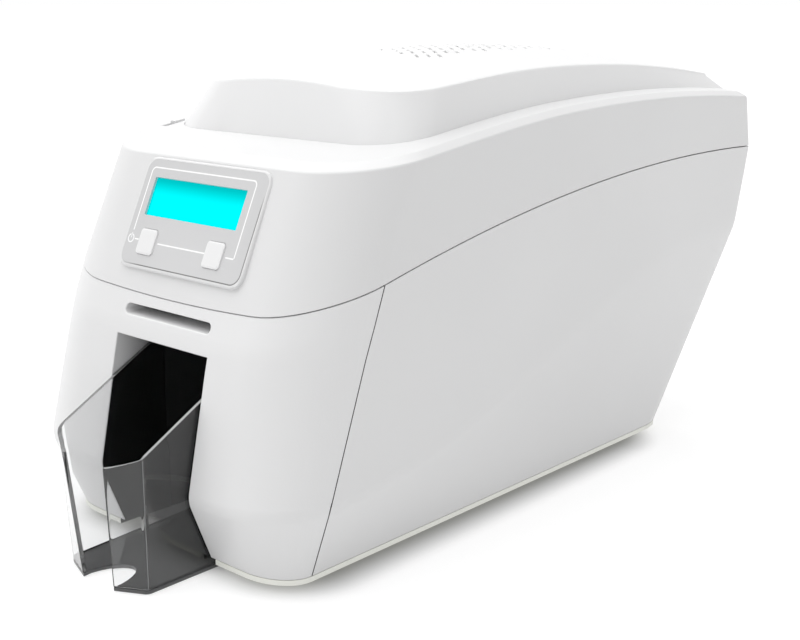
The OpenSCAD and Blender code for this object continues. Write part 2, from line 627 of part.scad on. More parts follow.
module rear_idler_gear() at_front() color("#f3f1e7")
  gear(gear_teeth, half_tooth, platen_y + roller_pitch / 2, roller_z, stud_r + run_gap);
module motor_pinion() at_front() color("#c7a45a") {
  gear(pinion_teeth, pinion_angle + 180 + 180 / pinion_teeth, pinion_y, pinion_z, pinion_shaft_r - tiny);
  xbar(frame_in - 9, gear_x + gear_w + 1, pinion_y, pinion_z, pinion_shaft_r);
}
module drive_motor() at_front() color("#8f9398") difference() {
  union() {
    xbar(8, frame_in, pinion_y, pinion_z, motor_r);
    xbar(frame_in - 1, frame_out + 0.5, pinion_y, pinion_z, 5);
    xbar(6, 9, pinion_y, pinion_z, 4);
  }
  xbar(frame_in - 10, frame_out + 2, pinion_y, pinion_z, pinion_shaft_r + run_gap);
}

// ---- Ribbon ----
supply_roll_r = 13;
used_roll_r = 9;
core_r = 6;
roll_l = 62;
module spool(y, z, flange_r) {
  flange_x = frame_in - 5;
  xbar(-frame_out - 3, frame_out + 3, y, z, spool_pin_r);
  xbar(-flange_x, flange_x, y, z, core_r);
  for (s = [-1, 1]) xbar(s > 0 ? roll_l / 2 + 0.5 : -roll_l / 2 - 2.5, s > 0 ? roll_l / 2 + 2.5 : -roll_l / 2 - 0.5, y, z, flange_r);
}
module supply_spool() at_front() color("#55585c") spool(supply_y, supply_z, supply_roll_r + 3);
module takeup_spool() at_front() color("#55585c") spool(takeup_y, takeup_z, used_roll_r + 3);
module supply_roll() at_front() color("#8a2d6f")
  tube_x(-roll_l / 2, roll_l / 2, supply_y, supply_z, supply_roll_r, core_r + tiny);
module used_roll() at_front() color("#3c3550")
  tube_x(-roll_l / 2, roll_l / 2, takeup_y, takeup_z, used_roll_r, core_r + tiny);
film_t = 0.2;
film_z = slot_z + 0.5;
// Side line of the film from the supply roll, under the head, to the used roll
film_line = [
  [supply_y - supply_roll_r - 0.3, supply_z - 2], [platen_y + 14, film_z + 2], [platen_y + 9, film_z],
  [platen_y - 9, film_z], [platen_y - 14, film_z + 2], [takeup_y + used_roll_r + 0.3, takeup_z]
];
module ribbon_film() at_front() color("#5b2f63")
  side_plate(-roll_l / 2, roll_l / 2, concat(film_line, [for (i = [len(film_line) - 1:-1:0]) film_line[i] + [0, film_t]]));

// ---- Electronics ----
board_t = 1.6;
board_x = -frame_out - 18;
board_end = chassis_back - 80;
module main_board() at_front() color("#2f6b3c") {
  block([board_x - board_t, 60, 22], [board_x, board_end, 112]);
  block([board_x - board_t - 3, 90, 60], [board_x - board_t, 115, 85]);
  block([board_x - board_t - 2, 140, 40], [board_x - board_t, 160, 60]);
  for (i = [1:3]) translate([board_x - board_t, board_end - 15 * i, 95]) rotate([0, -90, 0]) cylinder(h = 14, r = 5);
  for (z = [34, 50, 66]) block([board_x - board_t - 9, board_end - 15, z], [board_x - board_t, board_end - 7, z + 12]);
}
module board_standoffs() at_front() color("#c9ccd0")
  for (y = [68, board_end - 8], z = [30, 104]) xbar(board_x, -frame_out, y, z, 3);
psu_x = frame_out + 4;
psu_w = bottom_in - 2 * wall - rest_gap - 1 - psu_x;
psu_y = chassis_back - 120;
module power_supply() at_front() color("#a9adb1") difference() {
  block([psu_x, psu_y, pan_floor + frame_t + 0.3], [psu_x + psu_w, psu_y + 120, 50]);
  for (i = [0:7]) block([psu_x + 4, psu_y + 10 + i * 13, 48], [psu_x + psu_w - 4, psu_y + 16 + i * 13, 51]);
}

// ---- Top cover ----
face_slope = (face_top_y - joint_front_y) / (edge_at(face_top_y) - joint_at(0, joint_front_y));
function face_y(z) = joint_front_y + (z - joint_at(0, joint_front_y)) * face_slope;
panel_z = 166.2;
panel_y = face_y(panel_z) - 1.7;
panel_shift = -2.2;
window_v = 8.4;
button_v = -15.2;
left_button_x = panel_shift - 26;
right_button_x = panel_shift + 25.4;
plinth_d = 13;
face_t = 0.8;
lens_top = -wall;
lens_t = 1.5;
button_gap = 0.3;
board_top = -10.4;
module on_panel() translate([0, panel_y, panel_z]) rotate([90 - panel_tilt, 0, 0]) children();
module slab(z0, z1, w, h, r) translate([0, 0, z0]) linear_extrude(z1 - z0) rounded(w, h, r);
module panel_holes(z0, z1, grow) {
  translate([panel_shift, window_v, 0]) slab(z0, z1, window_w, window_h, 0.5);
  for (x = [left_button_x, right_button_x]) translate([x, button_v, 0])
    slab(z0, z1, button_w + 2 * grow, button_h + 2 * grow, 2);
}
boss_x = half_w - bevel_w - shoulder_w / 2;
boss_front = DOME_BASE[1] + 40;
boss_back = DOME_BASE[2] - 75;
boss_y = [boss_front, (boss_front + boss_back) / 2, boss_back];
frame_plate_z = edge_z - 20.8;
frame_plate_t = 1.6;
latch_y = 43;
latch_z = 152;
latch_pin_r = 2;
lug_x = 64;
lug_t = 3;
slider_y = 81;
slider_x = DOME_BASE[0];
slider_lean = atan(edge_at(slider_y + 0.5) - edge_at(slider_y - 0.5));
cap_w = 4;
cap_l = 7;
finger_y = 72.8;
finger_low = 186;
arm_in = 59;
module on_slider() translate([-slider_x, slider_y, shoulder_at(slider_y)]) rotate([slider_lean, 0, 0]) children();

module cover_shell() at_front() color("#f2f2f2") {
  difference() {
    union() {
      band(cover_rings);
      on_panel() slab(-plinth_d, 0, panel_w + 2 * panel_rim, panel_h + 2 * panel_rim, panel_r + panel_rim);
    }
    on_panel() slab(-plinth_d - 9, -wall, panel_w - 1, panel_h - 1, panel_r);
    on_panel() slab(-face_t - tiny, 1, panel_w + 0.1, panel_h + 0.1, panel_r);
    on_panel() panel_holes(-6, 1, button_gap);
    xbar(-barrel_half - 2.5, barrel_half + 2.5, hinge_y, hinge_z, barrel_r + barrel_gap);
    on_slider() block([-cap_w / 2 - 0.4, -cap_l / 2 - 0.4 - release_travel, -8], [cap_w / 2 + 0.4, cap_l / 2 + 0.4, 6]);
  }
  for (s = [-1, 1], y = boss_y) difference() {
    translate([s * boss_x, y, frame_plate_z + frame_plate_t]) cylinder(h = shoulder_at(y) - wall + 0.3 - frame_plate_z - frame_plate_t, r = 4);
    translate([s * boss_x, y, frame_plate_z]) cylinder(h = 10, r = 1.5);
  }
  for (s = [-1, 1]) difference() {
    side_plate(s > 0 ? lug_x : -lug_x - lug_t, s > 0 ? lug_x + lug_t : -lug_x,
      [[lug_root(latch_z - 6), latch_z - 6], [latch_y + 6, latch_z - 6], [latch_y + 6, latch_z + 6], [lug_root(latch_z + 6), latch_z + 6]]);
    xbar(-lug_x - lug_t - 1, lug_x + lug_t + 1, latch_y, latch_z, latch_pin_r + run_gap);
  }
}
// Where a lug meets the inside of the front wall, which curves back beside the panel
function lug_root(z) = face_y(z) + corner_at(lug_x) + wall * 0.5;
function corner_at(x) = JOINT[4] * (1 - sqrt(1 - pow(max(0, x - half_w + corner_x) / corner_x, 2)));

function top_at(x, y, d) = dome_edge_at(y) + crown_at(y) * pow(1 - pow(min(1, abs(x) / DOME_EDGE[0]), 2), 1.3) - d;
module dome_cover() at_front() color("#f4f4f4") {
  fit = 0.3;
  base = shrink(DOME_BASE, fit);
  steps = [0.9, 5, 12, 24, 40, 56, DOME_EDGE[0] - 12];
  drops = [0.12, 0, 0, 0, 0, 0, 0];
  outer = concat(
    [lift(base, function (x, y) shoulder_at(y) - wall)],
    [lift(base, function (x, y) shoulder_at(y))],
    [lift(shrink(DOME_EDGE, -0.35), function (x, y) top_at(x, y, 1.7))],
    [lift(DOME_EDGE, function (x, y) top_at(x, y, 0.7))],
    [for (i = [0:6]) lift(shrink(DOME_EDGE, steps[i]), function (x, y) top_at(x, y, drops[i]))]
  );
  inner = concat(
    [for (i = [6:-1:2]) lift(shrink(DOME_EDGE, steps[i]), function (x, y) top_at(x, y, wall))],
    [lift(shrink(DOME_EDGE, wall + 1), function (x, y) top_at(x, y, wall + 2))],
    [lift(shrink(base, wall), function (x, y) shoulder_at(y) - wall)]
  );
  difference() {
    domed_skin(outer, inner);
    vent_field();
  }
}

// Half-round field of small slots over the fan, in rows that run back to the left
fan_y = boss_back - 40;
vent_edge_x = 36;
vent_mid_y = fan_y - 47;
vent_reach = [86, 71];
vent_turn = 36.6;
vent_pitch = [12, 6.26];
vent_size = [8, 1.8];
module vent_field() for (i = [-10:10], r = [-18:18])
  let (x = vent_edge_x - 6 + i * vent_pitch[0] * cos(vent_turn) + r * vent_pitch[1] * sin(vent_turn),
    y = vent_mid_y - i * vent_pitch[0] * sin(vent_turn) + r * vent_pitch[1] * cos(vent_turn))
  if (x < vent_edge_x - 2 && norm([(x - vent_edge_x) / vent_reach[0], (y - vent_mid_y) / vent_reach[1]]) < 0.96)
    translate([x, y, dome_z - 30]) rotate([0, 0, -vent_turn]) linear_extrude(60) square(vent_size, center = true);

module cover_frame() at_front() color("#b4b8bc") difference() {
  block([-boss_x - 5, boss_front - 14, frame_plate_z], [boss_x + 5, boss_back + 14, frame_plate_z + frame_plate_t]);
  translate([0, fan_y, frame_plate_z - 1]) cylinder(h = 5, r = fan_bore_r);
  for (s = [-1, 1], y = boss_y) translate([s * boss_x, y, frame_plate_z - 1]) cylinder(h = 4, r = 1.7);
}
module cover_screws() at_front() color("#c9ccd0") for (s = [-1, 1], y = boss_y) {
  translate([s * boss_x, y, frame_plate_z - 2]) cylinder(h = 2, r = 3);
  translate([s * boss_x, y, frame_plate_z - 1]) cylinder(h = 9, r = 1.48);
}

module panel_face() at_front() color("#d6d6d6") on_panel() difference() {
  slab(-face_t, 0, panel_w, panel_h, panel_r - 0.05);
  panel_holes(-2, 1, button_gap);
}
module display_lens() at_front() color("#00e5e5") on_panel() translate([panel_shift, window_v, 0]) {
  slab(lens_top - lens_t, lens_top, window_w + 4, window_h + 3, 1);
  slab(lens_top - 0.1, -face_t - 0.2, window_w - 2 * rest_gap, window_h - 2 * rest_gap, 0.4);
}
module display_module() at_front() color("#3a3c40") on_panel() translate([panel_shift, window_v, 0])
  slab(board_top + 0.02, lens_top - lens_t - 0.02, window_w + 8, 29, 1);
module panel_board() at_front() color("#2f6b3c") on_panel() {
  slab(board_top - board_t, board_top, panel_w - 6, panel_h - 4, 2);
  for (x = [left_button_x, right_button_x]) translate([x, button_v, 0]) slab(board_top, board_top + 1.6, 6, 6, 0.6);
}
module panel_button(x) at_front() color("#f4f4f4") on_panel() translate([x, button_v, 0]) {
  slab(-wall - rest_gap - 0.01, 0.6, button_w, button_h, 1.8);
  slab(-wall - rest_gap - 1.2, -wall - rest_gap, button_w + 2, button_h + 1.6, 1.8);
  slab(board_top + 1.6 + button_travel + rest_gap, -wall - rest_gap - 1, 4, 4, 0.5);
}
module left_button() panel_button(left_button_x);
module right_button() panel_button(right_button_x);

// ---- Print head ----
head_bottom = film_z + film_t + 0.4;
head_h = 12;
arm_x = 33;
module print_head() at_front() color("#9a9ea3") difference() {
  block([-30, platen_y - 6, head_bottom], [30, platen_y + 8, head_bottom + head_h]);
  for (i = [0:8]) block([-28 + i * 6.4, platen_y - 7, head_bottom + 5], [-25 + i * 6.4, platen_y + 9, head_bottom + head_h - 2]);
}
module head_bracket() at_front() color("#b4b8bc") {
  top = head_bottom + head_h;
  block([-arm_x - 2, platen_y - 6, top], [arm_x + 2, platen_y + 8, top + 2]);
  for (s = [-1, 1]) block([s > 0 ? arm_x : -arm_x - 2, platen_y - 6, top], [s > 0 ? arm_x + 2 : -arm_x, platen_y + 8, frame_plate_z]);
}

// ---- Fan ----
fan_w = 60;
fan_h = 15;
fan_bore_r = 28;
fan_z = frame_plate_z + frame_plate_t;
module fan_frame() at_front() color("#232425") translate([0, fan_y, fan_z]) {
  difference() {
    translate([-fan_w / 2, -fan_w / 2, 0]) cube([fan_w, fan_w, fan_h]);
    translate([0, 0, -1]) cylinder(h = fan_h + 2, r = fan_bore_r);
    for (x = [-25, 25], y = [-25, 25]) translate([x, y, -1]) cylinder(h = fan_h + 2, r = 2);
  }
  difference() {
    union() {
      cylinder(h = 2, r = 11);
      cylinder(h = 8, r = 3.5);
      for (a = [45:90:315]) rotate([0, 0, a]) translate([9, -1.5, 0]) cube([fan_bore_r - 8, 3, 2]);
    }
    translate([0, 0, 1]) cylinder(h = 10, r = 1.5 + run_gap);
  }
}
module fan_rotor() at_front() color("#303234") translate([0, fan_y, fan_z]) {
  difference() {
    translate([0, 0, 3]) cylinder(h = fan_h - 4, r = 11);
    translate([0, 0, 2]) cylinder(h = 8, r = 4.5);
  }
  translate([0, 0, 1.5]) cylinder(h = 9, r = 1.5);
  for (a = [0:360 / 7:359]) rotate([0, 0, a]) translate([10, 0, 8.5]) rotate([38, 0, 0])
    translate([0, -5.5, -0.6]) cube([fan_bore_r - 11.5, 11, 1.2]);
}

// ---- Hinge of the top cover ----
barrel_half = 80;
knuckle_in = 40;
knuckle_out = 61.6;
knuckle_gap = 0.4;
leaf_low = hinge_z - 30;
module barrel(x0, x1, bore) tube_x(x0, x1, hinge_y, hinge_z, barrel_r, bore);
// Leaf that lies against the inside of the back wall between two heights
module low_leaf(x0, x1) difference() {
  side_plate(x0, x1, [
    [back_upper(leaf_low) - wall - rest_gap, leaf_low], [back_upper(hinge_z - 4.2) - wall - rest_gap, hinge_z - 3.2], [hinge_y, hinge_z - 2.6],
    [hinge_y - 2, hinge_z + 1], [back_upper(hinge_z - 6.2) - wall - 3, hinge_z - 4.2], [back_upper(leaf_low) - wall - 3, leaf_low]]);
  xbar(x0 - 1, x1 + 1, hinge_y, hinge_z, hinge_pin_r + 0.5);
}
module hinge_brackets() at_front() color("#5a5d61") {
  for (s = [-1, 1]) {
    a = s > 0 ? knuckle_out + knuckle_gap : -barrel_half;
    b = s > 0 ? barrel_half : -knuckle_out - knuckle_gap;
    barrel(a, b, hinge_pin_r + tiny);
    low_leaf(a, b);
  }
  difference() {
    xbar(-knuckle_in + knuckle_gap, knuckle_in - knuckle_gap, hinge_y, hinge_z, barrel_r);
    for (s = [-1, 1]) xbar(s > 0 ? knuckle_in - 11 : -knuckle_in - 1, s > 0 ? knuckle_in + 1 : -knuckle_in + 11, hinge_y, hinge_z, hinge_pin_r + tiny);
  }
  low_leaf(-knuckle_in + knuckle_gap, knuckle_in - knuckle_gap);
}
module hinge_pins() at_front() color("#c9ccd0") for (s = [-1, 1]) {
  xbar(s > 0 ? knuckle_in - 10 : -barrel_half - 1, s > 0 ? barrel_half + 1 : -knuckle_in + 10, hinge_y, hinge_z, hinge_pin_r);
  xbar(s > 0 ? barrel_half + 0.1 : -barrel_half - 1.5, s > 0 ? barrel_half + 1.5 : -barrel_half - 0.1, hinge_y, hinge_z, 2.6);
}
module cover_hinge_leaves() at_front() color("#5a5d61") for (s = [-1, 1]) {
  a = s > 0 ? knuckle_in : -knuckle_out;
  b = s > 0 ? knuckle_out : -knuckle_in;
  barrel(a, b, hinge_pin_r + run_gap);
  lean = (back_y - EDGE[2]) / (edge_at(EDGE[2]) - hinge_z);
  difference() {
    side_plate(a, b, [
      [hinge_y, hinge_z + 2.8], [back_y - wall - rest_gap - lean * 2.6, hinge_z + 2.6], [back_y - wall - rest_gap - lean * 24, hinge_z + 24],
      [back_y - wall - 3 - lean * 24, hinge_z + 24], [back_y - wall - 3, hinge_z + 5], [hinge_y - 3, hinge_z]]);
    xbar(a - 1, b + 1, hinge_y, hinge_z, hinge_pin_r + 0.5);
  }
}

// ---- Latch ----
hook_x = 38;
module latch_hook() at_front() color("#5a5d61") {
  xbar(-lug_x - lug_t, lug_x + lug_t, latch_y, latch_z, latch_pin_r);
  xbar(-lug_x + 0.5, lug_x - 0.5, latch_y, latch_z, latch_pin_r + 0.8);
  gap = 0.5;
  for (s = [-1, 1]) side_plate(s * hook_x - 2, s * hook_x + 2, [
    [latch_y - 2, latch_z + 2], [front_rod[0] + rod_r + gap, front_rod[1] + 4], [front_rod[0] + rod_r + gap, front_rod[1] - rod_r - gap],
    [front_rod[0] - 1, front_rod[1] - rod_r - gap], [front_rod[0] - 1, front_rod[1] - rod_r - gap - 1.5], [front_rod[0] + rod_r + 4, front_rod[1] - rod_r - gap - 1.5],
    [front_rod[0] + rod_r + 4.5, front_rod[1] + 2], [latch_y + 2, latch_z - 2]]);
  side_plate(-arm_in - 3, -arm_in, [
    [latch_y - 2.5, latch_z + 1], [finger_y - 4, finger_low - 2], [finger_y - 4, finger_low + 5],
    [finger_y - rest_gap, finger_low + 5], [finger_y - rest_gap, finger_low - 3], [latch_y + 2.5, latch_z - 1]]);
}
module release_button() at_front() color("#ededed") {
  on_slider() block([-cap_w / 2, -cap_l / 2, -wall - 3], [cap_w / 2, cap_l / 2, 0.8]);
  on_slider() block([-3, -cap_l / 2 - release_travel - 0.8, -wall - 3.8], [3, cap_l / 2 + 1.5, -wall - 2.2]);
  block([-slider_x - 1, finger_y, finger_low], [-arm_in + 1, finger_y + 3, shoulder_at(slider_y) - wall - 3.6]);
}

base_pan();
rubber_feet();
front_bezel();
left_side_cover();
right_side_cover();
rear_cover();
connector_panel();
hopper_liner();
left_frame();
right_frame();
frame_rods();
shaft_bushes();
idler_studs();
card_guide();
drive_motor();
main_board();
board_standoffs();
power_supply();
power_inlet();
switch_housing();
usb_socket();
network_socket();
hinge_brackets();
hinge_pins();
ribbon_film();
exit_shaft();
exit_rubber();
exit_gear();
platen_shaft();
platen_rubber();
platen_gear();
feed_shaft();
feed_rubber();
feed_gear();
front_idler_gear();
rear_idler_gear();
motor_pinion();
supply_spool();
supply_roll();
takeup_spool();
used_roll();
hopper();
rocker_switch();
cover_shell();
dome_cover();
panel_face();
display_lens();
display_module();
panel_board();
cover_frame();
cover_screws();
head_bracket();
print_head();
fan_frame();
fan_rotor();
cover_hinge_leaves();
latch_hook();
release_button();
left_button();
right_button();
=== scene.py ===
# %% [markdown]
# # A desktop card printer
# The printer's construction is already fixed: every frame, shaft, cover and button comes in as a
# solid at its real size, in metres. This notebook dresses those solids. It makes the finishes,
# remakes the shells and the pieces that show with soft edges, and sets up a plain studio.

# %% Load the frame
import json
import math

import bmesh
import bpy
from mathutils import Matrix, Vector

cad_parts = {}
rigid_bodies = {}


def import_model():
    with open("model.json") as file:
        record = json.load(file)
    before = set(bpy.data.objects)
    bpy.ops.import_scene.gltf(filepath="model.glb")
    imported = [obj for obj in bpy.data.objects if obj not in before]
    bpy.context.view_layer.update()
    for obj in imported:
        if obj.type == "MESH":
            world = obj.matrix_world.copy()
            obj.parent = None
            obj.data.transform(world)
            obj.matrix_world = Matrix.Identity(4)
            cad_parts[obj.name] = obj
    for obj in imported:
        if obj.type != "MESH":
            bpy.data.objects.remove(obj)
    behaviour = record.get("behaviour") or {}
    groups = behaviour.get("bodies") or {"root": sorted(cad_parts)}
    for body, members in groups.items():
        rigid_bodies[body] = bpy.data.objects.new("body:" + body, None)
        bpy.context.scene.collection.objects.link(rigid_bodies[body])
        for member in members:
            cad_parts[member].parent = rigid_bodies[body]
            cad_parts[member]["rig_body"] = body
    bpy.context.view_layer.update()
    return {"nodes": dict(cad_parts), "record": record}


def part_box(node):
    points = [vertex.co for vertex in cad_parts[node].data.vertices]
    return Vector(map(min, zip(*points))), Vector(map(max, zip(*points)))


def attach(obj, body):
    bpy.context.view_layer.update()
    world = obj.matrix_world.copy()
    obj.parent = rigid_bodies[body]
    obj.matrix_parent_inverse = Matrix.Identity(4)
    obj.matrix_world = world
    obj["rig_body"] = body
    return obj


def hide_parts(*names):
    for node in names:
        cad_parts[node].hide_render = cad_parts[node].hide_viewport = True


MM = 0.001
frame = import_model()
nodes = frame["nodes"]
slot_of = {s["node"]: s["material_slot"] for s in frame["record"]["subparts"]}

# %% [markdown]
# ## Camera
# The camera stands to the right of the printer's front and a little above its lid. A 36 mm wide
# sensor with a 57.7 mm lens gives a gentle perspective: a shorter lens would stretch the near
# corner, and a longer one would flatten the whole.

# %% Camera
CAMERA_AT = Vector((0.4899, -0.5449, 0.2721))
CAMERA_TURN = math.radians(42.117)
CAMERA_DOWN = math.radians(14.197)
lens = bpy.data.cameras.new("camera")
lens.lens = 57.73
lens.sensor_width = 36
camera = bpy.data.objects.new("camera", lens)
camera.location = CAMERA_AT
camera.rotation_euler = (math.pi / 2 - CAMERA_DOWN, 0, CAMERA_TURN)
bpy.context.scene.collection.objects.link(camera)
bpy.context.scene.camera = camera
print("camera at", tuple(round(v, 3) for v in CAMERA_AT))

# %% [markdown]
# ## Shader arithmetic
# A shader can be built by hand as a web of nodes, but it is easier to read and to repeat as a
# formula. `Wire` holds one output socket and turns Python's operators into Math nodes, and `Paint`
# is one material that hands out wires.

# %% Wires
class Wire:
    """One shader output that can be used in Python arithmetic."""

    def __init__(self, tree, socket):
        self.tree, self.socket = tree, socket

    def math(self, operation, *others):
        node = self.tree.nodes.new("ShaderNodeMath")
        node.operation = operation
        for index, value in enumerate((self, *others)):
            if isinstance(value, Wire):
                self.tree.links.new(value.socket, node.inputs[index])
            else:
                node.inputs[index].default_value = value
        return Wire(self.tree, node.outputs[0])

    def __add__(self, other):
        return self.math("ADD", other)

    __radd__ = __add__

    def __mul__(self, other):
        return self.math("MULTIPLY", other)

    __rmul__ = __mul__

    def __sub__(self, other):
        return self.math("SUBTRACT", other)

    def __rsub__(self, other):
        return (self * -1) + other

    def __truediv__(self, other):
        return self.math("DIVIDE", other)

    def __pow__(self, other):
        return self.math("POWER", other)

    def __abs__(self):
        return self.math("ABSOLUTE")

    def at_least(self, other):
        return self.math("MAXIMUM", other)

    def at_most(self, other):
        return self.math("MINIMUM", other)

    def step(self, low, high):
        """0 below low, 1 above high, and smooth between. With low above high it falls instead."""
        node = self.tree.nodes.new("ShaderNodeMapRange")
        node.interpolation_type = "SMOOTHSTEP"
        self.tree.links.new(self.socket, node.inputs["Value"])
        node.inputs["From Min"].default_value = low
        node.inputs["From Max"].default_value = high
        return Wire(self.tree, node.outputs["Result"])


print("wires ready")

# %% Paints
# A Mix node has sockets for every kind of data. These are the two colours that go in and the one
# that comes out.
MIX_FIRST, MIX_SECOND, MIX_RESULT = 6, 7, 2


class Paint:
    """A material with one Principled shader and patterns that stay fixed on the object."""

    def __init__(self, name):
        self.material = bpy.data.materials.new(name)
        self.material.use_nodes = True
        self.tree = self.material.node_tree
        self.shader = self.tree.nodes["Principled BSDF"]

    def node(self, kind, settings=None, inputs=None, output=0):
        """Any other node: its settings are set first, then its sockets are set or linked."""
        made = self.tree.nodes.new(kind)
        for key, value in (settings or {}).items():
            setattr(made, key, value)
        for key, value in (inputs or {}).items():
            if isinstance(value, Wire):
                self.tree.links.new(value.socket, made.inputs[key])
            else:
                made.inputs[key].default_value = value
        return Wire(self.tree, made.outputs[output])

    def here(self):
        """Object coordinates, in metres."""
        return self.node("ShaderNodeTexCoord", output="Object")

    def place(self, location, turn):
        """Object coordinates seen from a point on the piece, turned to its own axes."""
        inputs = {"Vector": self.here(), "Location": location, "Rotation": turn}
        return self.node("ShaderNodeMapping", {"vector_type": "TEXTURE"}, inputs)

    def axes(self, where):
        """The three coordinates of a place, each in millimetres."""
        split = self.node("ShaderNodeSeparateXYZ", inputs={"Vector": where}).socket.node
        return [Wire(self.tree, output) / MM for output in split.outputs]

    def noise(self, scale, detail, stretch=None):
        where = self.here()
        if stretch:
            where = self.node("ShaderNodeMapping", inputs={"Vector": where, "Scale": stretch})
        return self.node("ShaderNodeTexNoise", inputs={"Vector": where, "Scale": scale, "Detail": detail})

    def blend(self, amount, first, second):
        """The first colour where amount is 0 and the second where it is 1."""
        made = self.tree.nodes.new("ShaderNodeMix")
        made.data_type = "RGBA"
        self.tree.links.new(amount.socket, made.inputs["Factor"])
        for index, colour in ((MIX_FIRST, first), (MIX_SECOND, second)):
            if isinstance(colour, Wire):
                self.tree.links.new(colour.socket, made.inputs[index])
            else:
                made.inputs[index].default_value = (*colour, 1)
        return Wire(self.tree, made.outputs[MIX_RESULT])

    def feed(self, **values):
        """Sets or links sockets of the shader, named with underscores for spaces."""
        for key, value in values.items():
            socket = self.shader.inputs[key.replace("_", " ")]
            if isinstance(value, Wire):
                self.tree.links.new(value.socket, socket)
            elif isinstance(value, tuple):
                socket.default_value = (*value, 1)
            else:
                socket.default_value = value
        return self

    def bump(self, height, depth):
        """A relief in the shading alone, with its depth in millimetres."""
        inputs = {"Height": height, "Distance": depth * MM, "Strength": 1.0}
        return self.feed(Normal=self.node("ShaderNodeBump", inputs=inputs))


print("paints ready")

# %% [markdown]
# ## Finishes
# The casing is moulded in white plastic with a fine, even texture from the mould, so it gets a soft
# sheen, a slight change of tone over its length and a bump far too small to see as dots. Such a
# surface could also be an image laid on the part, but noise needs no unwrapping and stays sharp at
# any distance. Plastics and rubbers differ in tone, gloss and grain, so each kind is one function.

# %% Plastics
def shade(colour, gain):
    return tuple(min(1, c * gain) for c in colour)


def uneven(pattern, middle, spread):
    """A value that a pattern moves by half the spread to either side of its middle."""
    return pattern * spread + (middle - spread / 2)


def moulded(name, colour, rough, depth=0.02, tone=0.02):
    """Moulded plastic: fine mould texture, broad slight change of tone."""
    paint = Paint(name)
    broad = paint.noise(9, 1).step(0.3, 0.7)
    fine = paint.noise(900, 1)
    body = paint.blend(broad, shade(colour, 1 - tone), colour)
    paint.feed(Base_Color=body, Roughness=uneven(fine, rough, 0.08))
    return paint.bump(fine, depth)


def rubber(name, colour):
    """Dull rubber, mottled in tone."""
    paint = Paint(name)
    fine = paint.noise(1500, 3)
    body = paint.blend(fine, shade(colour, 0.75), shade(colour, 1.3))
    paint.feed(Base_Color=body, Roughness=uneven(fine, 0.695, 0.15))
    return paint.bump(fine, 0.06)


print("plastics and rubber ready")

# %% [markdown]
# ## Metals and the circuit board
# The frames are plated sheet, the shafts turned bar and the motor is painted. One metal with one
# gloss would do from afar, but rolling leaves long lines and turning leaves rings, and both show
# when the cover is open. Each is noise that is squeezed across its lines. The circuit board is a
# brick pattern for its tracks, with dots for the pads.

# %% Metals
def rolled_steel(name, colour, rough=0.32):
    """Plated sheet with the long faint lines of rolling."""
    paint = Paint(name)
    lines = paint.noise(60, 3, stretch=(30, 1, 30))
    spangle = paint.noise(160, 2).step(0.35, 0.65)
    plating = paint.blend(spangle, shade(colour, 0.9), colour)
    paint.feed(Base_Color=plating, Metallic=1.0, Roughness=uneven(lines, rough, 0.16))
    return paint.bump(lines, 0.01)


def turned(name, colour, rough=0.22):
    """Turned bar: fine rings round the X axis."""
    paint = Paint(name)
    rings = paint.noise(40, 1, stretch=(60, 1, 1))
    paint.feed(Base_Color=colour, Metallic=1.0, Roughness=uneven(rings, rough, 0.14))
    return paint.bump(rings, 0.008)


def coated(name, colour, rough):
    """Metal under a satin coat of paint."""
    paint = Paint(name)
    peel = paint.noise(420, 2)
    body = paint.blend(peel, shade(colour, 0.92), colour)
    paint.feed(Base_Color=body, Roughness=uneven(peel, rough, 0.1))
    return paint.bump(peel, 0.03)


print("metals ready")

# %% Circuit board
def circuit(name, colour):
    """Green lacquer over copper tracks: a grid of lines and lighter pads."""
    paint = Paint(name)
    where = paint.here()
    grid = {"Vector": where, "Scale": 140.0, "Mortar Size": 0.03, "Brick Width": 1.4, "Row Height": 0.5}
    tracks = paint.node("ShaderNodeTexBrick", {"offset": 0.5}, grid, output="Fac")
    dots = paint.node("ShaderNodeTexVoronoi", {"feature": "F1"}, {"Vector": where, "Scale": 260.0})
    pads = dots.step(0.16, 0.12)
    green = paint.blend(tracks, colour, shade(colour, 1.7))
    paint.feed(Base_Color=paint.blend(pads, green, (0.55, 0.5, 0.36)), Roughness=0.3 - pads * 0.1)
    return paint.bump(tracks, 0.03)


print("circuit board ready")
